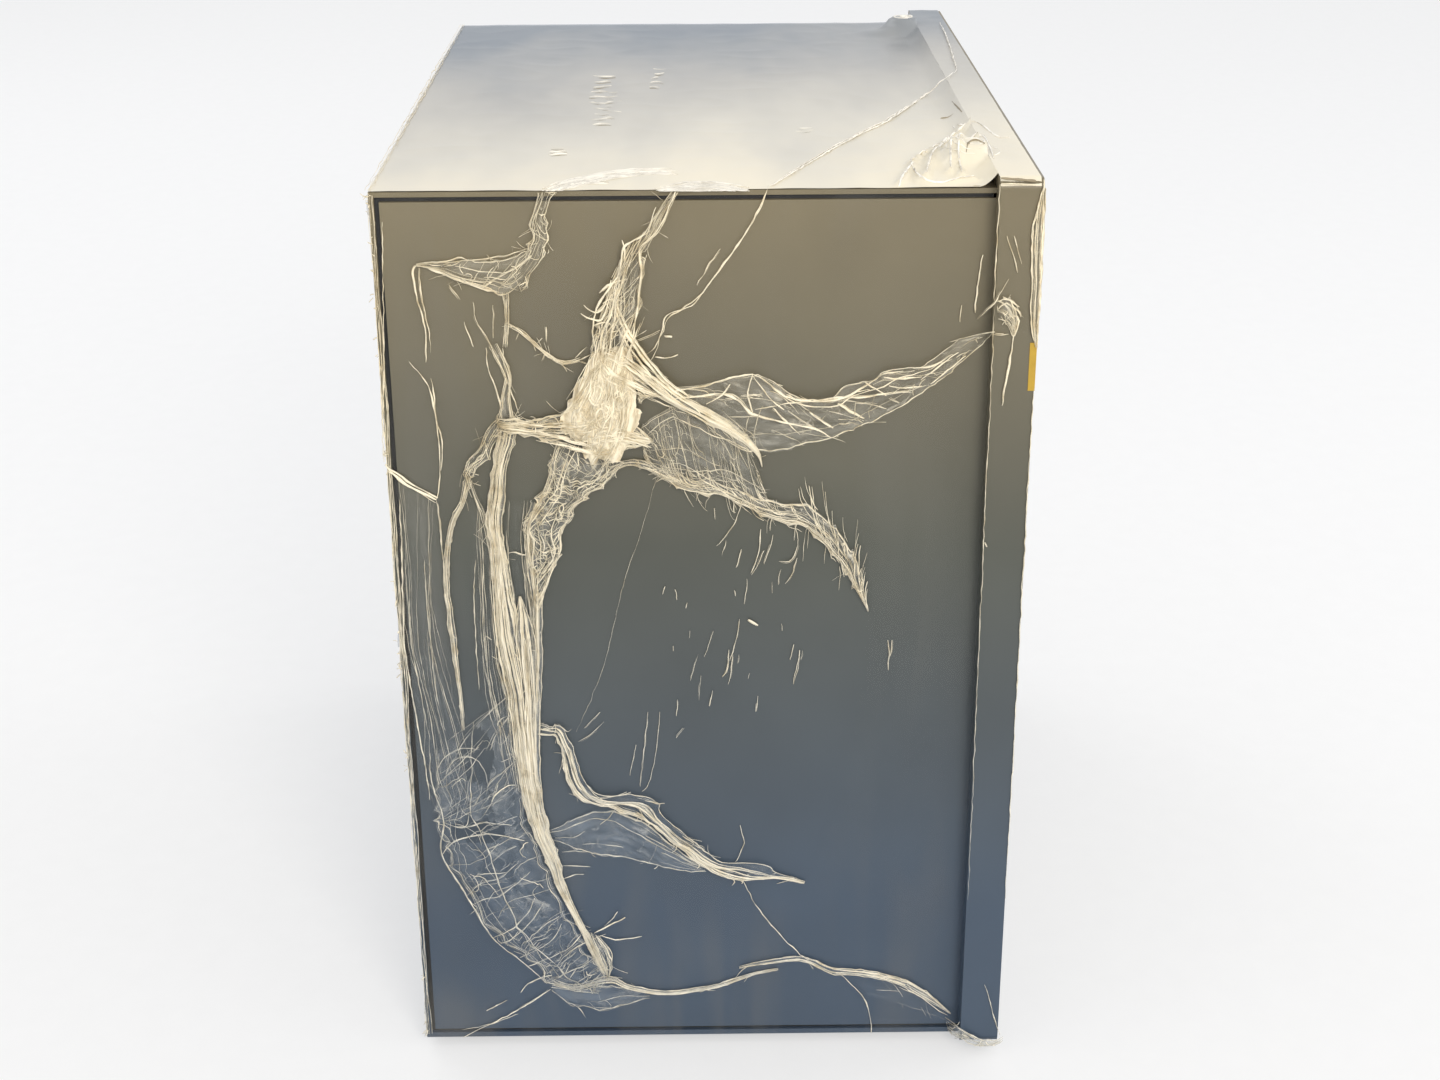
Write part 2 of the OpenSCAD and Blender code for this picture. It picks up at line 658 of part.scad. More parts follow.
module fan_frame() color("#232425") difference() {
    span(both(fan_w / 2), both_of(y_fan, fan_w / 2), z_fan);
    rod_z(fan_bore_r, 0, y_fan, [z_fan[0] + 3, z_fan[1] + 1]);
    difference() {
        rod_z(fan_bore_r, 0, y_fan, [z_fan[0] - 1, z_fan[0] + 4]);
        rod_z(fan_hub_r, 0, y_fan, [z_fan[0] - 1, z_fan[0] + 3]);
        for (a = [45, 135]) translate([0, y_fan, 0]) rotate([0, 0, a])
            span(both(fan_bore_r + 1), both(2.5), [z_fan[0] - 1, z_fan[0] + 3]);
    }
    rod_z(fan_axle_r + run_fit, 0, y_fan, [z_fan[0] + 1, z_fan[0] + 4]);
    for (x = both(fan_w / 2 - 4.5), y = both(fan_w / 2 - 4.5)) rod_z(2, x, y_fan + y, wide(z_fan, 1));
}

blade_n = 7;
module fan_rotor() color("#2d2e30") translate([0, y_fan, z_fan[0]]) {
    rod_z(fan_hub_r, 0, 0, [3 + face_gap, fan_t - 1]);
    rod_z(fan_axle_r, 0, 0, [1 + face_gap, 4]);
    for (i = [0:blade_n - 1]) rotate([0, 0, i * 360 / blade_n]) translate([fan_hub_r - 1, 0, fan_t / 2 + 1])
        rotate([38, 0, 0]) span([0, fan_bore_r - fan_hub_r], both(10), both(0.8));
}

// ---- Power supply and wiring ----

supply_x = [-x_side + supply_in, -x_side + supply_in + supply_w];
supply_y = [y_sheet - supply_rear - supply_d, y_sheet - supply_rear];
module power_supply() {
    color("#b4b7b8") difference() {
        span(supply_x, supply_y, [z_floor, z_floor + supply_h]);
        for (i = [1:8]) translate([supply_x[0] + i * supply_w / 9, 0, 0])
            span(both(2), [supply_y[0] + 24, supply_y[1] - 14], [z_floor + supply_h - 1, z_floor + supply_h + 1]);
    }
    color("#1f3a2c") span([supply_x[0] + 8, supply_x[1] - 8], [supply_y[0] - 10, supply_y[0]],
                          [z_floor + 8, z_floor + 20]);
}

// Round wire through a list of points: one ring of corners at each point, square to its route
wire_sides = 8;
function unit(v) = v / norm(v);
function heading(p, i) = unit(p[min(i + 1, len(p) - 1)] - p[max(i - 1, 0)]);
function ring(p, i, r) =
    let (d = heading(p, i), a = unit(cross(d, abs(d[2]) > 0.9 ? [1, 0, 0] : [0, 0, 1])), b = cross(d, a))
    [for (k = [0:wire_sides - 1]) p[i] + r * (a * cos(k * 360 / wire_sides) + b * sin(k * 360 / wire_sides))];
module wire(points, r) {
    n = len(points);
    corners = [for (i = [0:n - 1]) each ring(points, i, r)];
    sides = [for (i = [0:n - 2], k = [0:wire_sides - 1])
        let (j = (k + 1) % wire_sides, a = i * wire_sides)
        [a + k, a + j, a + wire_sides + j, a + wire_sides + k]];
    ends = [[for (k = [wire_sides - 1:-1:0]) k], [for (k = [0:wire_sides - 1]) (n - 1) * wire_sides + k]];
    polyhedron(corners, concat(sides, ends));
}
wire_r = 1.6;
terminal_y = supply_y[0] - 10;
terminal_z = z_floor + 14;
board_back = y_board + board_t;
mains_route = [[-inlet_x, y_sheet - inlet_l, z_inlet - 6], [-inlet_x, y_sheet - inlet_l - 7, z_inlet - 6],
    [-inlet_x, supply_y[1] + 8, z_inlet - 9], [-inlet_x, supply_y[1] + 8, z_floor + 16],
    [-inlet_x, supply_y[1] + 6, z_floor + 13], [-inlet_x, supply_y[1], z_floor + 13]];
fan_route = [[supply_x[1] - 14, terminal_y, terminal_z], [supply_x[1] - 14, terminal_y - 8, terminal_z],
    [supply_x[1] - 8, terminal_y - 12, terminal_z], [-fan_w / 2 - 16, terminal_y - 8, terminal_z + 6],
    [-fan_w / 2 - 12, y_fan - 24, z_fan[0] + 4], [-fan_w / 2 - 8, y_fan - 10, z_fan[0] + 9],
    [-fan_w / 2, y_fan - 10, z_fan[0] + 9]];
board_route = [[supply_x[0] + 14, terminal_y, terminal_z], [supply_x[0] + 14, terminal_y - 8, terminal_z],
    [supply_x[0] + 10, terminal_y - 16, terminal_z - 2], [supply_x[0] + 10, y_body + 24, terminal_z],
    [supply_x[0] + 14, board_back + 9, z_fascia - 14], [supply_x[0] + 14, board_back, z_fascia - 14]];
module wiring() {
    color("#8c2f28") wire(mains_route, wire_r);
    color("#20242a") wire(fan_route, wire_r);
    color("#20242a") wire(board_route, wire_r);
}

// ---- Controls ----

module control_fascia() color("#17181a") difference() {
    union() {
        span([fascia_x0, fascia_x1], [y_front, y_wall + eps], both_of(z_fascia, fascia_h / 2));
        span([fascia_x0 - 5, fascia_x1 + 5], [y_wall, y_wall + fascia_flange],
             both_of(z_fascia, fascia_h / 2 + 4));
    }
    span(both_of(display_x, display_w / 2 + set_gap), [y_front - 1, y_wall + 4],
         both_of(z_fascia, display_h / 2 + set_gap));
    for (i = [0:2]) rod_y(key_r + face_gap, key_x + i * key_pitch, [y_front - 1, y_wall + 4], z_fascia);
    rod_y(stem_r + face_gap, knob_x, [y_front - 1, y_wall + 4], z_fascia);
}

module display() color("#0d1a22")
    span(both_of(display_x, display_w / 2), [y_front + 0.8, y_board], both_of(z_fascia, display_h / 2));

module control_board() {
    color("#1d5a37") span([fascia_x0, fascia_x1], [y_board, y_board + board_t],
                          both_of(z_fascia, fascia_h / 2));
    color("#202020") for (i = [0:2])
        span(both_of(key_x + i * key_pitch, 3), [key_back + 1, y_board], both_of(z_fascia, 3));
    color("#9a9c9e") difference() {
        span(both_of(knob_x, 6), [y_front + 7, y_board], both_of(z_fascia, 6));
        rod_y(stem_r + run_fit, knob_x, [y_front, y_board - 1], z_fascia);
    }
    color("#202020") for (x = [fascia_x0 + 10, fascia_x1 - 10], z = both(fascia_h / 2 - 5))
        rod_y(2.5, x, [y_wall + fascia_flange, y_board], z_fascia + z);
}

module key(i) color("#d9dadb") {
    rod_y(key_r, key_x + i * key_pitch, [y_front - key_out, key_back], z_fascia);
    rod_y(key_r + 1, key_x + i * key_pitch, [y_wall + fascia_flange + 0.05, y_wall + fascia_flange + 1.05],
          z_fascia);
}
module up_key() key(0);
module down_key() key(1);
module timer_key() key(2);

module menu_knob() color("#3a3c3f") difference() {
    union() {
        rod_y(knob_r, knob_x, [y_front - 1 - knob_h, y_front - 1], z_fascia);
        rod_y(stem_r, knob_x, [y_front - 2, y_board - 1 - face_gap], z_fascia);
    }
    for (i = [0:23]) translate([knob_x, 0, z_fascia]) rotate([0, i * 15, 0])
        span(both(0.5), [y_front - 2 - knob_h, y_front - 3], [knob_r - 0.5, knob_r + 1]);
    span(both_of(knob_x, 0.6), [y_front - 2 - knob_h, y_front - knob_h - 0.5], [z_fascia + 2, z_fascia + knob_r + 1]);
}

// ---- Mains inlet and power switch ----

y_mouth = y_sheet - inlet_l + inlet_back;
module inlet_socket() color("#1a1a1b") translate([-inlet_x, 0, z_inlet]) {
    difference() {
        union() {
            span(both(inlet_w / 2), [y_rear, y_rear + inlet_t], both(inlet_h / 2));
            span(both(inlet_w / 2 - inlet_flange), [y_sheet - inlet_l, y_rear + eps], both(inlet_h / 2 - inlet_rim));
        }
        span(both(inlet_w / 2 - inlet_flange - inlet_wall), [y_mouth, y_rear + inlet_t + 1],
             both(inlet_h / 2 - inlet_rim - inlet_wall));
        for (x = both(inlet_w / 2 - inlet_flange / 2)) rod_y(screw_r, x, [y_rear - 1, y_rear + inlet_t + 1], 0);
    }
    for (x = [-inlet_pitch, 0, inlet_pitch]) span(both_of(x, 1), [y_mouth - 1, y_rear - 2], both_of(x == 0 ? 2 : -1, 2));
}

rocker_r = 5;
rocker_axis_y = y_rear - 2;
module switch_housing() color("#1a1a1b") translate([-switch_x, 0, z_inlet]) difference() {
    union() {
        span(both(switch_w / 2), [y_rear, y_rear + 2], both(switch_h / 2));
        span(both(switch_w / 2 - 2), [y_sheet - 20, y_rear + eps], both(switch_h / 2 - 2));
    }
    span(both(switch_w / 2 - 4), [y_sheet - 12, y_rear + 3], both(switch_h / 2 - 4));
    rod_x(1.5 + run_fit, both(switch_w / 2 - 2.8), rocker_axis_y, 0);
}

// Paddle with a shallow V outside, drawn tilted to the off side
rocker_half = switch_h / 2 - 5;
module power_rocker() color("#2c2c2e") translate([-switch_x, rocker_axis_y, z_inlet])
    rotate([rocker_tilt, 0, 0]) {
        rotate([90, 0, 90]) translate([0, 0, -switch_w / 2 + 4.5]) linear_extrude(switch_w - 9)
            polygon([[-5, -3], [-1, -rocker_half], [4.5, -rocker_half], [3, 0], [4.5, rocker_half],
                     [-1, rocker_half], [-5, 3]]);
        rod_x(1.5, both(switch_w / 2 - 3), 0, 0);
    }

// ---- Desiccant drawer ----

module drawer_sleeve() color("#9ea1a3") difference() {
    span(wide(drawer_span, slide_gap + sleeve_wall), [y_wall, drawer_back + 3],
         wide(drawer_rise, slide_gap + sleeve_wall));
    span(wide(drawer_span, slide_gap), [y_wall - 1, drawer_back + 3 - sleeve_wall], wide(drawer_rise, slide_gap));
    for (i = [0:5]) translate([drawer_x - 40 + i * 16, 0, 0])
        span(both(5), [y_body + 20, drawer_back - 12], wide(drawer_rise, 10));
}

module desiccant_drawer() color(frame_grey) difference() {
    span(drawer_span, [y_front, drawer_back], drawer_rise);
    span(wide(drawer_span, -drawer_wall), [y_front + drawer_front_t, drawer_back - drawer_wall],
         [drawer_rise[0] + drawer_wall, drawer_rise[1] + 1]);
    span(both_of(drawer_x, 24), [y_front - 1, y_front + 8], [drawer_rise[0] + 16, drawer_rise[0] + 30]);
    for (i = [0:5]) translate([drawer_x - 40 + i * 16, 0, 0])
        span(both(4), [y_front + drawer_front_t + 8, drawer_back - 12], [drawer_rise[0] - 1, drawer_rise[0] + 3]);
}

module desiccant_lid() color("#c4c7c9") difference() {
    span(wide(drawer_span, -drawer_wall - set_gap),
         [y_front + drawer_front_t + set_gap, drawer_back - drawer_wall - set_gap],
         [drawer_rise[0] + drawer_wall, drawer_rise[1] - 3]);
    span(wide(drawer_span, -drawer_wall - set_gap - 1),
         [y_front + drawer_front_t + 2, drawer_back - drawer_wall - 2],
         [drawer_rise[0] + drawer_wall - 1, drawer_rise[1] - 4]);
    for (ix = [-8:8], iy = [0:13]) rod_z(1.6, drawer_x + ix * 5.4, y_front + drawer_front_t + 8 + iy * 5.8,
                                         [drawer_rise[1] - 5, drawer_rise[1]]);
}

// ---- Door ----

module door_frame() color(frame_grey) difference() {
    translate([0, 0, z_door[0]]) linear_extrude(z_door[1] - z_door[0]) {
        translate([-x_door, y_front + door_edge_r]) square([2 * x_door, door_t - door_edge_r]);
        translate([-x_door + door_edge_r, y_front]) square([2 * (x_door - door_edge_r), door_t]);
        for (x = both(x_door - door_edge_r)) translate([x, y_front + door_edge_r]) circle(door_edge_r);
    }
    span(both(x_glass), [y_front - 1, y_front + door_t + 1], z_glass);
    span([-x_door + hinge_bar, x_door - door_wall], [y_front + door_wall, y_front + door_t + 1],
         wide(z_door, -door_wall));
    for (z = [z_door[0] - 1, z_door[1] - pin_reach - 1])
        rod_z(pin_r + bush_wall, x_pivot, y_pivot, [z, z + pin_reach + 2]);
}

module hinge_pins() color("silver") {
    rod_z(pin_r, x_pivot, y_pivot, [z_open[0] - 5, z_door[0] + pin_reach]);
    rod_z(pin_r, x_pivot, y_pivot, [z_door[1] - pin_reach, z_open[1] + 5]);
}

module hinge_bushes() color("#e4e4e2") for (z = [z_door[0], z_door[1] - pin_reach - 1]) difference() {
    rod_z(pin_r + bush_wall, x_pivot, y_pivot, [z, z + pin_reach + 1]);
    rod_z(pin_r + run_fit, x_pivot, y_pivot, [z - 1, z + pin_reach + 2]);
}

module door_window() color("#7d8b92")
    span(both(x_glass + glass_lap), [y_front + door_wall, y_front + door_wall + glass_t], wide(z_glass, glass_lap));

module door_panel() color("#33363a") difference() {
    union() {
        span(both(x_door - 1), [y_front + door_t, y_door_back], wide(z_door, -1));
        difference() {
            span(both(x_glass + glass_lap), [y_front + door_wall + glass_t, y_front + door_t + eps],
                 wide(z_glass, glass_lap));
            span(both(x_glass + glass_lap - 3), [y_front, y_front + door_t], wide(z_glass, glass_lap - 3));
        }
    }
    span(both(x_glass), [y_front, y_door_back + 1], z_glass);
    at_magnets() span([-magnet_w / 2, magnet_w / 2], [y_front + door_t - 1, y_door_back + 1], both(magnet_l / 2));
}

x_magnet = x_door - 1.5 - magnet_w / 2;
module at_magnets() for (z = both((z_door[1] - z_door[0]) / 2 - 40)) translate([x_magnet, 0, z_handle + z]) children();
module door_magnets() color("#b0b3b5") at_magnets()
    span(both(magnet_w / 2), [y_front + door_t, y_body - strike_t - magnet_gap], both(magnet_l / 2));
module strike_plates() color("#a6a9ab") at_magnets()
    span(both(magnet_w / 2), [y_body - strike_t, y_body], both(magnet_l / 2 + 2));

module door_seal() color("#e9e7e2") difference() {
    span(both(seal_out), [y_door_back, y_body - 0.1], wide(z_liner, seal_w));
    span(both(x_liner), [y_door_back - 1, y_body], z_liner);
}

module door_handle() color("#a8abae") {
    rod_z(handle_r, x_handle, y_front - handle_out + handle_r, both_of(z_handle, handle_l / 2));
    for (z = both(handle_l / 2 - 2 * handle_r))
        rod_y(post_r, x_handle, [y_front - handle_out + handle_r, y_front], z_handle + z);
}

// ---- Label and film ----

module edge_label() color("#d9a81c") {
    span([-x_frame - label_t, -x_frame + label_w], [y_front - label_t, y_front],
         [z_base + label_z, z_base + label_z + label_h]);
    span([-x_frame - label_t, -x_frame], [y_front - label_t, y_front + 2.5],
         [z_base + label_z, z_base + label_z + label_h]);
}

// Sleeve of film round the body and the frame's edge, open at the front and the rear
module film_wrap() color("#dfe3e4") difference() {
    union() {
        difference() {
            span(both(x_side + film_t), [y_body, y_rear], [z_base - film_t, z_top + film_t]);
            span(both(x_side), [y_body - 1, y_rear + 1], [z_base, z_top]);
        }
        difference() {
            round_plate(both(x_frame + film_t), [z_base - film_t, z_frame + film_t],
                        [y_body - film_band, y_body + film_t], frame_r + film_t);
            round_plate(both(x_frame), [z_base, z_frame], [y_body - film_band - 1, y_body], frame_r);
            span(both(x_side), [y_body - 1, y_body + 2], [z_base, z_top]);
        }
    }
    span(both(x_side - film_turn), [y_body - film_band - 1, y_rear + 1], [0, z_base + 1]);
    at_feet() cylinder(r = foot_r + 1, h = z_base + 0.5);
    for (x = both(outlet_x)) rod_z(outlet_r + 2, x, y_outlet, [z_top - 0.5, z_top + 5]);
    rod_x(film_tear_r, [-x_side - 5, -x_side + 5], y_body + film_tear_y, z_base + film_tear_z);
}

base_tray();
inner_frame();
left_panel();
right_panel();
top_panel();
rear_panel();
front_frame();
chamber_liner();
side_insulation();
top_insulation();
rear_insulation();
hinge_pins();
strike_plates();
left_bracket();
right_bracket();
roller_bearings();
air_duct();
heater_core();
fan_frame();
power_supply();
control_board();
display();
control_fascia();
inlet_socket();
switch_housing();
vent_rivet();
vent_pipe();
humidity_sensor();
left_outlet();
right_outlet();
outlet_nuts();
feet();
foot_screws();
rear_screws();
edge_label();
drawer_sleeve();
wiring();
film_wrap();
door_frame();
door_window();
door_panel();
door_seal();
door_handle();
door_magnets();
hinge_bushes();
front_shaft();
front_sleeves();
rear_shaft();
rear_sleeves();
fan_rotor();
menu_knob();
up_key();
down_key();
timer_key();
power_rocker();
vent_shutter();
desiccant_drawer();
desiccant_lid();
left_collet();
right_collet();
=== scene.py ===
"""Looks of the filament dryer box: finishes of its parts, and the torn clear film that wraps it.

Lengths are metres in the row frame: X runs across the front, the door faces -Y and Z is up.
Film routes are pixels of the 1440 x 1080 photograph, written x, y, x, y. The script's own camera throws
them onto the panel or the top, so each strand lies on the sheet metal that carries it.
"""
import math
import random

import bpy
from mathutils import Matrix, Vector, noise
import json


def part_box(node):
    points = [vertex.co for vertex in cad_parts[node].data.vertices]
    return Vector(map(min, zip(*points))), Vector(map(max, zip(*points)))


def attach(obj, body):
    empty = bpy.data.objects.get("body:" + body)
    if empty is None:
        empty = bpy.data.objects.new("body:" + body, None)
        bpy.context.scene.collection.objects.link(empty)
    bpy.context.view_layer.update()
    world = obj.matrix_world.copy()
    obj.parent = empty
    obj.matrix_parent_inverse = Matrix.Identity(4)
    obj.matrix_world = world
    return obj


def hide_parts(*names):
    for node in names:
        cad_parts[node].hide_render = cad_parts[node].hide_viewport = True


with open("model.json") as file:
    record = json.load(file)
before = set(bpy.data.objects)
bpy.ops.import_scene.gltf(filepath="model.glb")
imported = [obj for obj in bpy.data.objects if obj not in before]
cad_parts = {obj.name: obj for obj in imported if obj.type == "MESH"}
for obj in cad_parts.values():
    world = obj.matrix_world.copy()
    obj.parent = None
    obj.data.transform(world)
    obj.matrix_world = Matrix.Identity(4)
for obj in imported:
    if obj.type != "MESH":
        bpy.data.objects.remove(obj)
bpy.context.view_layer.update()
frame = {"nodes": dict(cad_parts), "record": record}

MM = 0.001
HALF_TURN, FULL_TURN = 3.14, 6.28
X_AXIS, Y_AXIS, Z_AXIS = range(3)
# Without a seed of its own, noise_vector takes one from the clock, and each run differs a little.
NOISE_SEED = 1795470280
noise.seed_set(NOISE_SEED)

# ---------------------------------------------------------------- camera

PHOTO_W, PHOTO_H = 1440, 1080
CAMERA_PLACE = Vector((-1.0002, 0.0143, 0.6028))
CAMERA_LENS, SENSOR = 53.5, 36.0
NEAR_CLIP, FAR_CLIP = 0.01, 50
PITCH, YAW, ROLL = math.radians(23.257), math.radians(0.526), math.radians(-0.291)
PIXELS = CAMERA_LENS / SENSOR * PHOTO_W


def camera_axes():
    """Right, up and forward of the photograph's camera, which looks along +X."""
    forward = Vector((math.cos(YAW) * math.cos(PITCH), -math.sin(YAW) * math.cos(PITCH), -math.sin(PITCH)))
    level = forward.cross(Vector((0, 0, 1))).normalized()
    rise = level.cross(forward)
    right = math.cos(ROLL) * level + math.sin(ROLL) * rise
    return right, right.cross(forward), forward


RIGHT, UP, FORWARD = camera_axes()


def make_camera():
    data = bpy.data.cameras.new("camera")
    data.lens, data.sensor_width = CAMERA_LENS, SENSOR
    data.clip_start, data.clip_end = NEAR_CLIP, FAR_CLIP
    camera = bpy.data.objects.new("camera", data)
    camera.matrix_world = Matrix((RIGHT, UP, -FORWARD)).transposed().to_4x4()
    camera.location = CAMERA_PLACE
    bpy.context.collection.objects.link(camera)
    bpy.context.scene.camera = camera


def on_plane(px, py, axis, value):
    """The point where a pixel's ray meets the plane on which that axis has that value."""
    ray = FORWARD + RIGHT * ((px - PHOTO_W / 2) / PIXELS) - UP * ((py - PHOTO_H / 2) / PIXELS)
    return CAMERA_PLACE + ray * ((value - CAMERA_PLACE[axis]) / ray[axis])


# ---------------------------------------------------------------- places taken from the frame

(X_FRAME, Y_BODY, Z_FRAME), Y_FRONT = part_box("front_frame")[1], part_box("front_frame")[0].y
X_SIDE, _, Z_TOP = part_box("top_panel")[1]
Z_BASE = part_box("base_tray")[0].z
Y_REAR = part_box("rear_panel")[1].y
OUTLETS = [(low + high) / 2 for low, high in (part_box("left_outlet"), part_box("right_outlet"))]


# ---------------------------------------------------------------- shader nodes

class Look:
    """The nodes of a material or of the world. A socket is fed by a number, a colour or another socket."""

    def __init__(self, owner):
        owner.use_nodes = True
        self.owner, self.tree = owner, owner.node_tree

    def feed(self, node, sockets):
        for key, value in sockets.items():
            socket = node.inputs[key]
            if isinstance(value, bpy.types.NodeSocket):
                self.tree.links.new(value, socket)
            else:
                socket.default_value = (*value, 1) if socket.type == "RGBA" else value

    def node(self, kind, sockets, output=0, **settings):
        node = self.tree.nodes.new("ShaderNode" + kind)
        for key, value in settings.items():
            setattr(node, key, value)
        self.feed(node, sockets)
        return node.outputs[output]

    def noise(self, scale, detail=3.0, roughness=0.55, distortion=0.0, stretch=(1, 1, 1), source="Object"):
        """A noise over the piece's own place, or over its UVs."""
        place = self.node("Mapping", {"Scale": stretch, "Vector": self.node("TexCoord", {}, source)})
        return self.node("TexNoise", {"Scale": scale, "Detail": detail, "Roughness": roughness,
                                      "Distortion": distortion, "Vector": place}, "Fac")

    def contours(self, scale, width, detail, distortion, stretch=(1, 1, 1)):
        """Thin lines where a noise crosses its middle: 1 on a line and 0 away from it."""
        field = self.noise(scale, detail, 0.5, distortion, stretch, "UV")
        apart = self.math("ABSOLUTE", self.math("SUBTRACT", field, 0.5), 0)
        return self.remap(apart, 0, width, 1, 0)

    def math(self, operation, a, b):
        return self.node("Math", {0: a, 1: b}, operation=operation)

    def times(self, a, b):
        return self.math("MULTIPLY", a, b)

    def most(self, a, b):
        return self.math("MAXIMUM", a, b)

    def remap(self, factor, low, high, out_low, out_high):
        return self.node("MapRange", {"Value": factor, "From Min": low, "From Max": high, "To Min": out_low,
                                      "To Max": out_high}, "Result")

    def ramp(self, factor, *stops):
        node = self.tree.nodes.new("ShaderNodeValToRGB")
        elements = node.color_ramp.elements
        while len(elements) < len(stops):
            elements.new(0.5)
        for element, (place, color) in zip(elements, stops):
            element.position = place
            element.color = (*color, 1)
        self.feed(node, {"Fac": factor})
        return node.outputs["Color"]

    def mix(self, factor, a, b, blend="MIX"):
        return self.node("Mix", {0: factor, 6: a, 7: b}, 2, data_type="RGBA", blend_type=blend)

    def bump(self, height, strength, distance):
        return self.node("Bump", {"Strength": strength, "Distance": distance, "Height": height}, "Normal")

    def place(self, axis):
        return self.node("SeparateXYZ", {0: self.node("TexCoord", {}, "Object")}, axis)

    def carried(self, name):
        """A number that a mesh carries at each point."""
        return self.node("Attribute", {}, "Fac", attribute_name=name)

    def tone(self, low, high):
        """A film colour graded by height as painted reflection: cooler low on the box and warmer high on it."""
        height = self.remap(self.place(Z_AXIS), Z_BASE, Z_TOP * 0.85, 0, 1)
        return self.ramp(height, (0.0, low), (0.35, low), (1.0, high))

    def shade(self, sockets):
        """Feeds the surface shader, and gives the material."""
        self.feed(self.tree.nodes["Principled BSDF"], sockets)
        return self.owner


def new_look(name):
    return Look(bpy.data.materials.new(name))


def grey(level):
    return level, level, level


# ---------------------------------------------------------------- finishes of the carried-over parts

# Grey paint colours low, middle and high on the box; the blue low down and the warm brown high up are painted
# reflection.
WARM_REFLECTED_GREY, MID_GREY, BLUE_REFLECTED_GREY = (0.184, 0.153, 0.090), (0.070, 0.074, 0.060), (0.046, 0.070, 0.106)


def speckled(name, low, high, roughness, scale, bump=0.15, metallic=0.0, grain=(1, 1, 1), coat=0.0,
             depth=0.0004):
    """A finish whose colour, roughness and height vary with one noise; grain stretches it."""
    look = new_look(name)
    fine = look.noise(scale, 4, stretch=grain)
    both = look.times(look.math("ADD", fine, look.noise(9, 2)), 0.5)
    return look.shade({"Base Color": look.ramp(both, (0.32, low), (0.68, high)),
                       "Roughness": look.remap(both, 0.3, 0.7, roughness - 0.07, roughness + 0.07),
                       "Metallic": metallic, "Coat Weight": coat, "Normal": look.bump(fine, bump, depth)})


def paint(name, gain=1.0, peel=0.006):
    """Semi-matt grey paint with painted reflection: warmer high on the box and cooler low down, with a faint
    orange peel.
    """
    look = new_look(name)
    low, middle, high = (tuple(gain * c for c in tone) for tone in (BLUE_REFLECTED_GREY, MID_GREY, WARM_REFLECTED_GREY))
    height = look.remap(look.place(Z_AXIS), Z_BASE, Z_TOP, 0, 1)
    tone = look.ramp(height, (0.0, low), (0.18, low), (0.62, middle), (1.0, high))
    cloud = look.noise(11, 3)
    shade = look.ramp(cloud, (0.3, grey(0.90)), (0.7, grey(1.08)))
    return look.shade({"Base Color": look.mix(1.0, tone, shade, "MULTIPLY"),
                       "Roughness": look.remap(cloud, 0.3, 0.7, 0.36, 0.48),
                       "Normal": look.bump(look.noise(700, 2), peel, 0.0002)})


def brushed(name, low, high):
    return speckled(name, low, high, 0.3, 1100, 0.02, 1.0, (1, 1, 0.03), depth=0.00005)


def clear_glass(name, tint, alpha):
    look = new_look(name)
    smear = look.noise(14, 3)
    return look.shade({"Base Color": tint, "Roughness": look.remap(smear, 0.3, 0.7, 0.03, 0.12),
                       "Alpha": look.remap(smear, 0.3, 0.7, alpha - 0.02, alpha + 0.02)})


# Finish of each of the record's slots: name, darker and lighter colour, roughness, scale, bump and the rest.
FINISHES = {
    "galvanised": ("galvanised", (0.42, 0.43, 0.44), (0.60, 0.61, 0.62), 0.38, 60, 0.1, 0.9),
    "mineral_wool": ("mineral_wool", (0.52, 0.43, 0.24), (0.76, 0.68, 0.46), 0.9, 420, 0.9, 0, (1, 0.2, 1), 0,
                     0.001),
    "bright_steel": ("bright_steel", (0.62, 0.63, 0.64), (0.74, 0.75, 0.76), 0.2, 300, 0.05, 1.0),
    "black_plastic": ("black_plastic", (0.018, 0.018, 0.019), (0.032, 0.032, 0.034), 0.45, 800),
    "fascia": ("gloss_fascia", (0.010, 0.011, 0.013), (0.018, 0.019, 0.021), 0.14, 500, 0.03, 0, (1, 1, 1), 0.6),
    "display_glass": ("display_glass", (0.012, 0.030, 0.040), (0.020, 0.044, 0.056), 0.08, 120, 0, 0, (1, 1, 1),
                      1.0),
    "circuit_green": ("solder_mask", (0.02, 0.13, 0.06), (0.05, 0.20, 0.10), 0.3, 240, 0.2),
    "white_plastic": ("white_plastic", (0.70, 0.70, 0.67), (0.80, 0.80, 0.77), 0.4, 600, 0.08),
    "rubber_black": ("rubber", grey(0.016), grey(0.034), 0.75, 350, 0.3),
    "seal_rubber": ("silicone_seal", (0.66, 0.65, 0.61), (0.78, 0.77, 0.73), 0.6, 250),
    "door_inner": ("door_inner", (0.055, 0.058, 0.062), (0.085, 0.088, 0.092), 0.5, 600, 0.12),
    "yellow_label": ("yellow_label", (0.40, 0.24, 0.01), (0.52, 0.33, 0.02), 0.35, 180, 0.05, 0, (1, 1, 1), 0.3),
    "wire_jacket": ("wire_jacket", (0.10, 0.02, 0.02), (0.18, 0.04, 0.03), 0.4, 300, 0.05),
}
# Radius of the rounded edges in millimetres.
SOFT_EDGES = {
    "front_frame": 1.2, "door_frame": 0.8, "top_panel": 0.5, "left_panel": 0.4, "right_panel": 0.4,
    "rear_panel": 0.4, "base_tray": 0.5, "desiccant_drawer": 0.6, "control_fascia": 0.3, "menu_knob": 0.4,
    "feet": 0.5, "inlet_socket": 0.4, "switch_housing": 0.4, "power_rocker": 0.4, "door_handle": 1.0,
}


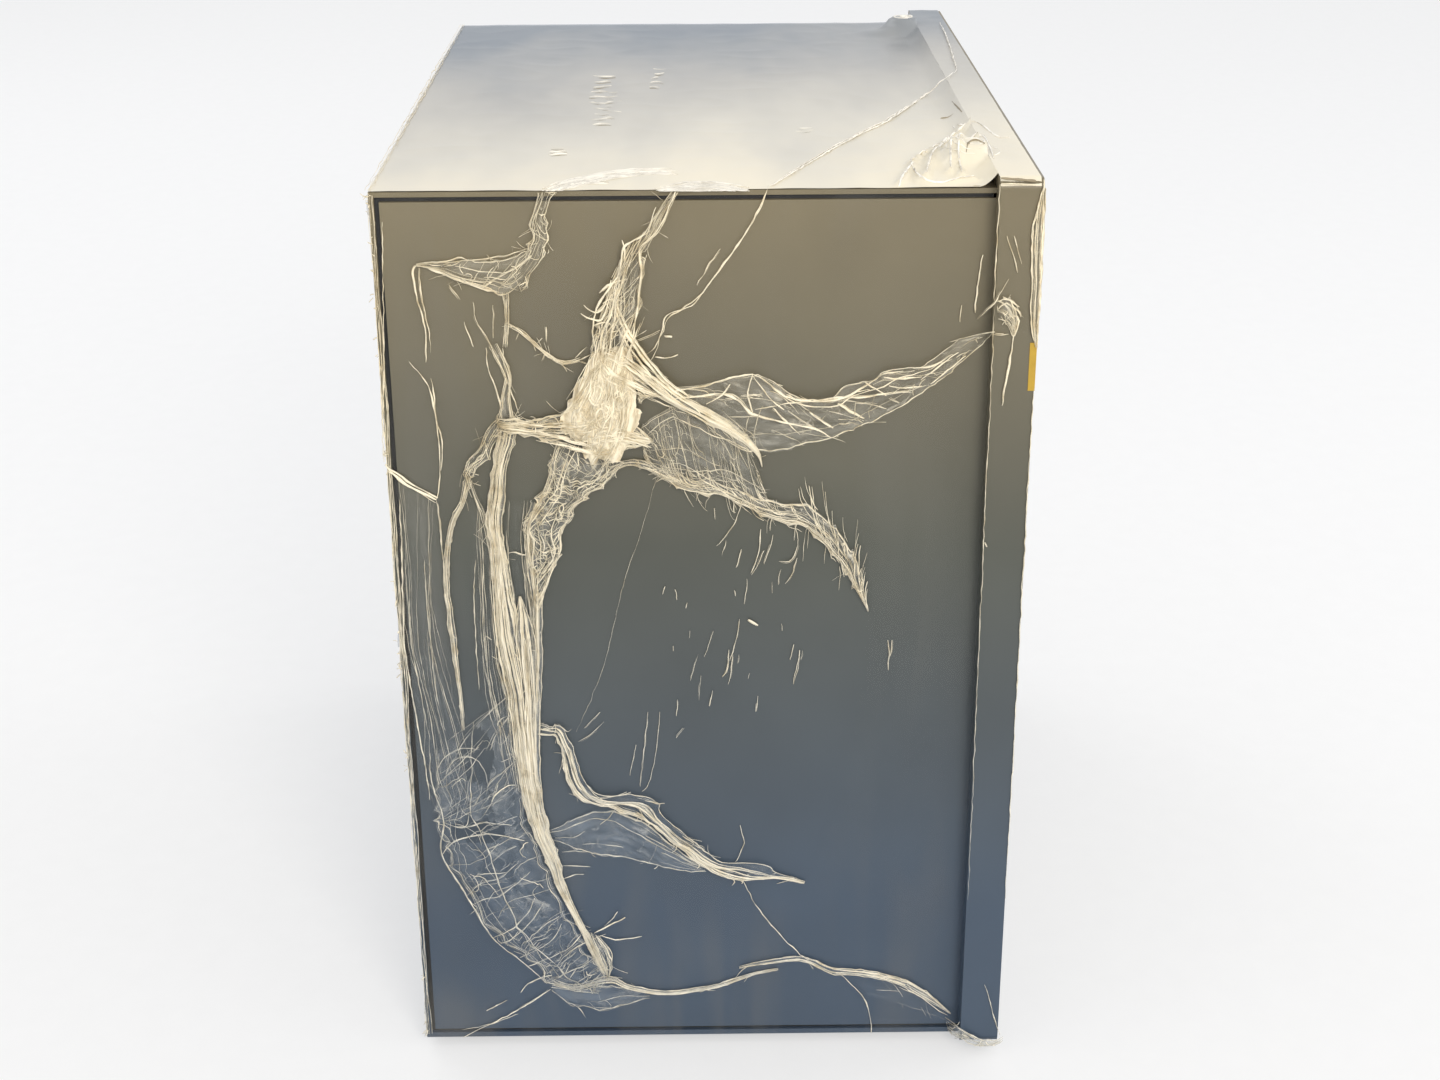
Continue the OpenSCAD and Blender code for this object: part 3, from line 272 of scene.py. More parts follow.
def dress_nodes():
    """Gives each CAD part its finish, and rounds the hard edges of those that show."""
    made = {
        "steel_grey": paint("panel_paint"),
        "frame_grey": paint("frame_paint", 1.05, 0.012),
        "stainless": brushed("stainless", (0.60, 0.61, 0.62), (0.66, 0.67, 0.68)),
        "aluminium": brushed("satin_aluminium", (0.62, 0.63, 0.64), (0.69, 0.70, 0.71)),
        "window_glass": clear_glass("window_glass", (0.22, 0.29, 0.31), 0.15),
    }
    made.update((slot, speckled(*finish)) for slot, finish in FINISHES.items())
    # The inner frame, which shows through the seams round the side panels, is painted near black as painted shade
    # instead of its galvanised finish.
    shadowed = speckled("shadowed_metal", grey(0.020), grey(0.034), 0.6, 60, 0.1)
    slots = {part["node"]: part["material_slot"] for part in frame["record"]["subparts"]}
    for name, node in frame["nodes"].items():
        if slots[name] not in made:
            continue
        node.data.materials.clear()
        node.data.materials.append(shadowed if name == "inner_frame" else made[slots[name]])
        if name in SOFT_EDGES:
            bevel = node.modifiers.new("edge", "BEVEL")
            bevel.width, bevel.segments = SOFT_EDGES[name] * MM, 3
            bevel.limit_method, bevel.angle_limit = "ANGLE", math.radians(40)


# ---------------------------------------------------------------- film finishes

# Film colours high and low on the box: the cooler low colours and the warmer high ones are painted reflection.
CREAM_HIGH, CREAM_LOW = (0.98, 0.88, 0.66), (0.93, 0.86, 0.70)
HAZE_HIGH, HAZE_LOW = (0.66, 0.62, 0.50), (0.40, 0.48, 0.58)
THIN_HIGH, THIN_LOW = (0.88, 0.78, 0.56), (0.74, 0.75, 0.72)
# Near white that the strands on the top are mixed towards: painted highlight for the brightly lit top.
HIGHLIGHT_WHITE = (1, 0.97, 0.90)
FILM_SHINE = 0.7


def membrane_finish(name, haze, line_level, crinkle_level, flow=(1.2, 9, 1)):
    """Stretched film: a faint haze, silky streaks along its pull, thin bright folds and a drawn rim."""
    look = new_look(name)
    silk = look.remap(look.noise(3.5, 4, 0.6, 0.8, flow, "UV"), 0.5, 0.74, 0, line_level)
    cloud = look.noise(6, 3, stretch=(1, 3, 1), source="UV")
    level = look.most(silk, look.times(look.contours(2.6, 0.018, 3, 0.4, flow), line_level * 0.8))
    faded = look.remap(cloud, 0.4, 0.65, 0, crinkle_level)
    level = look.most(level, look.times(look.contours(7, 0.010, 3, 2.6), faded))
    level = look.most(level, look.times(look.carried("level"), line_level * 0.6))
    alpha = look.most(level, look.remap(cloud, 0.35, 0.7, haze * 0.4, haze * 1.6))
    # The haze and cream colours are graded by height as painted reflection.
    return look.shade({"Base Color": look.mix(level, look.tone(HAZE_LOW, HAZE_HIGH),
                                              look.tone(CREAM_LOW, CREAM_HIGH)),
                       "Alpha": look.times(alpha, look.carried("cover")), "Roughness": 0.28,
                       "Specular IOR Level": FILM_SHINE, "Normal": look.bump(level, 0.6, 0.0006)})


def filament_finish(name, highlight=0.0):
    """Drawn-out film in strands: bright cream where the film is thick and a faint grey where it is thin."""
    look = new_look(name)
    patches = look.noise(120, 3)
    level = look.times(look.carried("level"), look.remap(patches, 0.3, 0.6, 0.6, 1.1))
    # The thin and thick strand colours are graded by height as painted reflection.
    tone = look.mix(level, look.tone(THIN_LOW, THIN_HIGH), look.tone(CREAM_LOW, CREAM_HIGH))
    tone = look.mix(1.0, tone, look.ramp(patches, (0.3, (0.86, 0.80, 0.68)), (0.5, grey(1.0))), "MULTIPLY")
    # The colour is mixed towards near white by the given share, as painted highlight.
    return look.shade({"Base Color": look.mix(highlight, tone, HIGHLIGHT_WHITE),
                       "Alpha": look.remap(level, 0.0, 0.8, 0.15, 1),
                       "Roughness": 0.3, "Specular IOR Level": FILM_SHINE})


def knot_finish():
    """Film crumpled into an almost opaque lump."""
    look = new_look("film_knot")
    folds = look.noise(85, 4, 0.6, 1.6, (1, 1.8, 0.8))
    # The dark tan where the fold noise is low is painted shade in the creases of the lump; the cream is the film's
    # own colour.
    tone = look.ramp(folds, (0.3, (0.50, 0.40, 0.25)), (0.42, (0.76, 0.65, 0.45)), (0.56, (0.97, 0.87, 0.66)))
    return look.shade({"Base Color": tone, "Alpha": look.remap(folds, 0.3, 0.5, 0.86, 1), "Roughness": 0.32,
                       "Normal": look.bump(folds, 0.5, 0.0012)})


def top_film_finish():
    """Milky film on the top, with painted reflection of the light: cream towards the left side and blue-grey
    towards the right and rear.
    """
    look = new_look("film_top")
    drift = look.math("ADD", look.remap(look.place(X_AXIS), -X_SIDE, X_SIDE, 0, 1),
                      look.remap(look.place(Y_AXIS), Y_BODY, Y_REAR, -0.06, 0.12))
    drift = look.math("ADD", drift, look.remap(look.noise(7, 3, stretch=(1, 2.5, 1)), 0.3, 0.7, -0.12, 0.12))
    tone = look.ramp(drift, (0.0, (0.88, 0.80, 0.62)), (0.25, (0.70, 0.66, 0.56)), (0.6, (0.48, 0.465, 0.43)),
                     (1.0, (0.215, 0.255, 0.305)))
    return look.shade({"Base Color": tone, "Alpha": look.remap(drift, 0.1, 1.0, 0.96, 0.82), "Roughness": 0.3,
                       "Normal": look.bump(look.noise(42, 3, stretch=(1, 5, 1)), 0.10, 0.0008)})


def skin_finish():
    """Tight clear film on the sheet metal, seen mostly by its shine and a few streaks."""
    look = new_look("film_skin")
    streaks = look.remap(look.noise(34, 2, 0.5, 0.6, (1, 1, 0.16)), 0.47, 0.66, 0.01, 0.17)
    low_down = look.remap(look.place(Z_AXIS), Z_BASE, Z_TOP, 1, 0.35)
    haze = look.times(streaks, look.times(low_down, look.remap(look.noise(12, 1), 0.38, 0.62, 0.2, 1)))
    return look.shade({"Base Color": (0.34, 0.33, 0.30), "Alpha": look.times(haze, look.carried("cover")),
                       "Roughness": 0.3, "Specular IOR Level": 0.3})


# ---------------------------------------------------------------- mesh helpers

def mesh_piece(name, points, faces, material, uvs=None, levels=None, cover=None):
    """A piece of film that rides on the cabinet and stands for the CAD sleeve."""
    mesh = bpy.data.meshes.new(name)
    mesh.from_pydata([tuple(p) for p in points], [], faces)
    if uvs is not None:
        layer = mesh.uv_layers.new(name="UVMap")
        for loop in mesh.loops:
            layer.data[loop.index].uv = uvs[loop.vertex_index]
    for label, values in (("level", levels), ("cover", cover)):
        if values is not None:
            mesh.attributes.new(label, "FLOAT", "POINT").data.foreach_set("value", values)
    mesh.materials.append(material)
    mesh.polygons.foreach_set("use_smooth", [True] * len(mesh.polygons))
    piece = bpy.data.objects.new(name, mesh)
    bpy.context.collection.objects.link(piece)
    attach(piece, "cabinet")
    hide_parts("film_wrap")


class Heap:
    """Gathers the points and faces of many strands into one mesh; gain makes them all brighter."""

    def __init__(self, gain=1.0):
        self.points, self.faces, self.uvs, self.levels, self.gain = [], [], [], [], gain

    def add(self, points, faces, uvs, levels):
        base = len(self.points)
        self.points += points
        self.uvs += uvs
        self.levels += [min(1.2, level * self.gain) for level in levels]
        self.faces += [tuple(i + base for i in face) for face in faces]

    def piece(self, name, material):
        mesh_piece(name, self.points, self.faces, material, self.uvs, self.levels)


def clamp(share):
    return min(max(share, 0), 1)


def curve_point(points, t):
    """Catmull-Rom curve through the points, t from 0 to 1."""
    n = len(points) - 1
    place = clamp(t) * n
    i = min(int(place), n - 1)
    f = place - i
    a, b = points[max(i - 1, 0)], points[i]
    c, d = points[i + 1], points[min(i + 2, n)]
    return 0.5 * ((2 * b) + (c - a) * f + (2 * a - 5 * b + 4 * c - d) * f * f
                  + (3 * b - a - 3 * c + d) * f ** 3)


def curve(points, steps):
    return [curve_point(points, i / steps) for i in range(steps + 1)]


def path_length(points):
    return sum((b - a).length for a, b in zip(points, points[1:]))


def filament(heap, centres, radius, level=1.0, sides=3, tips=0.12, wiggle=0.2):
    """A thin closed tube through the centres: uneven, and thinner towards its ends."""
    points, faces, uvs, levels = [], [], [], []
    n = len(centres)
    own = Vector((centres[0].y * 911, centres[0].z * 733, radius * 9e4))
    for i, centre in enumerate(centres):
        ahead = centres[min(i + 1, n - 1)] - centres[max(i - 1, 0)]
        ahead = ahead.normalized() if ahead.length > 1e-9 else Vector((0, 0, 1))
        side = ahead.cross(Vector((0.98, 0.05, 0.17))).normalized()
        rise = ahead.cross(side)
        uneven = noise.noise(centre * 240 + own)
        thick = radius * max(tips, math.sin(math.pi * (i + 0.5) / n) ** 0.35) * (0.85 + 0.8 * uneven)
        middle = centre + noise.noise_vector(centre * 330 + own) * wiggle * MM
        for k in range(sides):
            angle = 2 * math.pi * k / sides
            points.append(middle + (side * math.cos(angle) + rise * math.sin(angle)) * thick)
            uvs.append((k / sides, i / n))
            levels.append(level * (0.85 + 0.5 * uneven))
    for i in range(n - 1):
        for k in range(sides):
            j = (k + 1) % sides
            faces.append((i * sides + k, i * sides + j, (i + 1) * sides + j, (i + 1) * sides + k))
    faces.append(tuple(range(sides - 1, -1, -1)))
    faces.append(tuple((n - 1) * sides + k for k in range(sides)))
    heap.add(points, faces, uvs, levels)


# ---------------------------------------------------------------- routes thrown from the photograph

LIFT = 0.8 * MM
OUT = {"side": Vector((-1, 0, 0)), "top": Vector((0, 0, 1))}


def thrown(px, py, face="side", lift=LIFT):
    """A pixel thrown onto the left side (body panel or frame edge) or onto the top."""
    if face == "top":
        point = on_plane(px, py, Z_AXIS, Z_TOP + lift)
        return point if point.y > Y_BODY else on_plane(px, py, Z_AXIS, Z_FRAME + lift)
    point = on_plane(px, py, X_AXIS, -X_SIDE - lift)
    return point if point.y > Y_BODY else on_plane(px, py, X_AXIS, -X_FRAME - lift)


def pairs(pixels):
    return list(zip(pixels[::2], pixels[1::2]))


def route_of(pixels, face="side", lift=LIFT):
    return [thrown(px, py, face, lift) for px, py in pairs(pixels)]


class Sheet:
    """A sheet of film between two edges, given in pixels; t runs along it and s across it."""

    def __init__(self, left, right, height, seed, ragged):
        self.left, self.right = route_of(left), route_of(right)
        self.height, self.ragged = height * MM, ragged
        self.shift = Vector((seed * 7.31, seed * 3.17, seed))
        self.length = max(path_length(self.left), path_length(self.right))
        self.width = max((a - b).length for a, b in zip(curve(self.left, 8), curve(self.right, 8)))

    def peak(self, t, edge):
        """How far one edge is drawn out to a point at t, from 0 to 1."""
        wave = noise.noise(Vector((t * self.length * 85, edge * 9.7, 0)) + self.shift)
        return max(0.0, 1 - 5 * abs(wave)) ** 1.6

    def reach(self, t):
        return (curve_point(self.left, t) - curve_point(self.right, t)).length

    def at(self, t, s, above=0.0):
        a, b = curve_point(self.left, t), curve_point(self.right, t)
        width = (b - a).length
        point = a.lerp(b, s)
        on = clamp(s)
        loose = min(1.0, width / (6 * MM)) * self.ragged * MM
        ragged = 0.8 * noise.noise(point * 110 + self.shift) * loose
        ragged += loose * (on ** 4 * (self.peak(t, 1) - 0.35) - (1 - on) ** 4 * (self.peak(t, 0) - 0.35))
        ends = min(1.0, 7 * t + 0.1, 7 * (1 - t) + 0.1)
        dome = math.sin(math.pi * min(max(on, 0.03), 0.97)) ** 0.6
        fold = 1 - 2.4 * abs(noise.noise(Vector((t * self.length * 26, on * width * 360, 0)) + self.shift))
        rise = self.height * ends * dome * (0.5 + 0.5 * fold) * min(1, width / (7 * MM))
        slide = (b - a).normalized() if width > 1e-6 else Vector((0, 0, 0))
        return point + slide * ragged + OUT["side"] * (max(rise, 0) + above)


def membrane(name, sheet, material, holes, soft):
    """The film of a sheet, as a fine pleated grid; a hole is its middle pixel and its two radii in millimetres."""
    columns = max(8, min(150, int(sheet.length / (1.6 * MM))))
    rows = max(5, min(40, int(sheet.width / (0.9 * MM))))
    gaps = [(thrown(px, py), wide * MM, tall * MM) for px, py, wide, tall in holes]
    points, faces, uvs, levels, cover = [], [], [], [], []
    for i in range(columns + 1):
        t = i / columns
        reach = sheet.reach(t)
        ends = min(1.0, min(t, 1 - t) * sheet.length / (6 * MM))
        for j in range(rows + 1):
            s = j / rows
            points.append(sheet.at(t, s))
            uvs.append((t * sheet.length * 10 + sheet.shift.x, (s - 0.5) * reach * 10 + sheet.shift.y))
            rim = min(s, 1 - s) * reach
            levels.append(0.0 if soft else max(0.0, 1 - rim / (0.9 * MM)))
            cover.append(ends * min(1.0, rim / (7 * MM)) if soft else ends)
    for i in range(columns):
        for j in range(rows):
            a = i * (rows + 1) + j
            middle = (points[a] + points[a + rows + 2]) / 2
            if all(math.hypot((middle.y - gap.y) / wide, (middle.z - gap.z) / tall) > 1
                   for gap, wide, tall in gaps):
                faces.append((a, a + 1, a + rows + 2, a + rows + 1))
    mesh_piece(name, points, faces, material, uvs, levels, cover)


# ---------------------------------------------------------------- strands of one sheet

LEVELS = (0.3, 0.45, 0.6, 0.8, 1.0)


def lane_for(bias, rng):
    """Where across a sheet a filament runs: near edge 0, near edge 1, near both, or anywhere."""
    if bias == "even":
        return rng.uniform(0.02, 0.98)
    near = rng.random() ** 2 * 0.75
    if bias == "both":
        return near * 0.6 if rng.random() < 0.5 else 1 - near * 0.6
    return near if bias == "left" else 1 - near


def along(heap, sheet, count, radius, rng, bias, bundles):
    """Filaments that run the length of a sheet, gathered into bundles where it has them."""
    courses = [(lane_for(bias, rng), rng.uniform(-0.2, 0.2), rng.uniform(0, FULL_TURN), rng.uniform(0.6, 2.5),
                rng.uniform(0.02, 0.09)) for _ in range(bundles or count)]
    for k in range(count):
        lane, drift, phase, waves, wander = courses[k % len(courses)]
        spread = rng.gauss(0, 0.3 / bundles) if bundles else 0
        start = 0 if rng.random() < 0.5 else rng.uniform(0, 0.6)
        end = 1 if rng.random() < 0.5 else min(1, rng.uniform(start + 0.2, 1.1))
        steps = max(5, int(sheet.length * (end - start) / (3.0 * MM)))
        above = rng.uniform(0, 0.9) * MM
        centres = []
        for i in range(steps + 1):
            t = start + (end - start) * (i / steps)
            s = lane + spread + drift * (t - 0.5) + wander * math.sin(phase + waves * FULL_TURN * t)
            centres.append(sheet.at(t, clamp(s), above))
        filament(heap, centres, radius * rng.choice((0.4, 0.5, 0.7, 1, 1.5)) * MM, rng.choice(LEVELS))


def across(heap, sheet, count, lean, radius, rng):
    """Filaments that run from the drawn-out points of one edge into the sheet, leaning along it."""
    for _ in range(count):
        edge = rng.choice((0, 1))
        begin = max((rng.random() for _ in range(4)), key=lambda t: sheet.peak(t, edge))
        shift = lean * rng.uniform(0.5, 1.6) * (1 if edge == 0 else -1)
        reach = rng.choice((rng.uniform(0.2, 0.6), rng.uniform(0.4, 1)))
        bow = rng.uniform(-0.25, 0.6) * abs(shift)
        centres = [sheet.at(clamp(begin + shift * f + bow * math.sin(math.pi * f)),
                            reach * f if edge == 0 else 1 - reach * f, 0.3 * MM)
                   for f in (i / 9 for i in range(10))]
        filament(heap, centres, radius * rng.choice((0.4, 0.6, 0.9, 1.2)) * MM, rng.choice(LEVELS[:4]))


def strokes(heap, sheet, rows, radius, rng):
    """Folds laid the same way: how many, from and to where across the sheet, and how far along and across."""
    for count, begin_low, begin_high, ahead, over, bow, level in rows:
        for _ in range(count):
            t, s = rng.random(), rng.uniform(begin_low, begin_high)
            reach, own = rng.uniform(0.4, 1.2), rng.uniform(-0.15, 0.15)
            centres = []
            for i in range(10):
                f = i / 9
                bend = bow * math.sin(math.pi * f)
                centres.append(sheet.at(clamp(t + ahead * reach * (f + bend)),
                                        s + (over + own) * reach * (f - bend), 0.5 * MM))
            filament(heap, centres, radius * rng.choice((0.5, 0.8, 1.2)) * MM, level * rng.uniform(0.5, 1))


def curls(heap, sheet, count, size, radius, rng):
    """Short curled folds at every angle, as crumpled film shows."""
    for _ in range(count):
        t, s = rng.random(), rng.uniform(0.03, 0.97)
        heading, turn = rng.uniform(0, FULL_TURN), rng.uniform(-3, 3)
        length = rng.uniform(0.5, 1.4) * size * MM
        above, centres = rng.uniform(0, 1.2) * MM, []
        for _ in range(9):
            centres.append(sheet.at(clamp(t), clamp(s), above))
            t += math.cos(heading) * length / 8 / sheet.length
            s += math.sin(heading) * length / 8 / max(sheet.reach(clamp(t)), 3 * MM)
            heading += turn / 8
        filament(heap, centres, radius * rng.choice((0.5, 0.8, 1.2)) * MM, rng.choice(LEVELS[1:]))


def edges(heap, sheet, radius, rng):
    """The drawn line along each edge of a sheet."""
    steps = max(6, int(sheet.length / (1.8 * MM)))
    for s in (0, 1):
        for level in (0.9, 0.5):
            inset = rng.uniform(0, 0.05)
            centres = [sheet.at(i / steps, abs(s - inset), rng.uniform(0, 0.25) * MM) for i in range(steps + 1)]
            filament(heap, centres, radius * rng.uniform(0.5, 1) * MM, level)


def hair(here, way, size, bend, shares):
    return [here + way * size * f + bend * f * f for f in shares]


def fringe(heap, sheet, count, reach, rng):
    """Loose hairs that leave the edges of a sheet, most of them along the route."""
    for _ in range(count):
        edge = rng.choice((0, 1))
        t = max((rng.random() for _ in range(3)), key=lambda t: sheet.peak(t, edge))
        here = sheet.at(t, edge)
        away = (here - sheet.at(t, 0.8 if edge == 0 else 0.2)).normalized()
        ahead = (sheet.at(min(t + 0.03, 1), edge) - sheet.at(max(t - 0.03, 0), edge)).normalized()
        ahead *= rng.choice((-1, 1))
        way = (away * rng.uniform(0.1, 1) + ahead * rng.uniform(0.3, 1.6)
               + OUT["side"] * rng.uniform(0, 0.2)).normalized()
        size = rng.uniform(0.25, 1) * reach * MM
        bend = (away if rng.random() < 0.5 else -away) * rng.uniform(0, 0.6) * size
        filament(heap, hair(here, way, size, bend, (0, 0.2, 0.4, 0.6, 0.8, 1)), rng.uniform(0.08, 0.2) * MM,
                 rng.choice(LEVELS[:4]), tips=0.25)


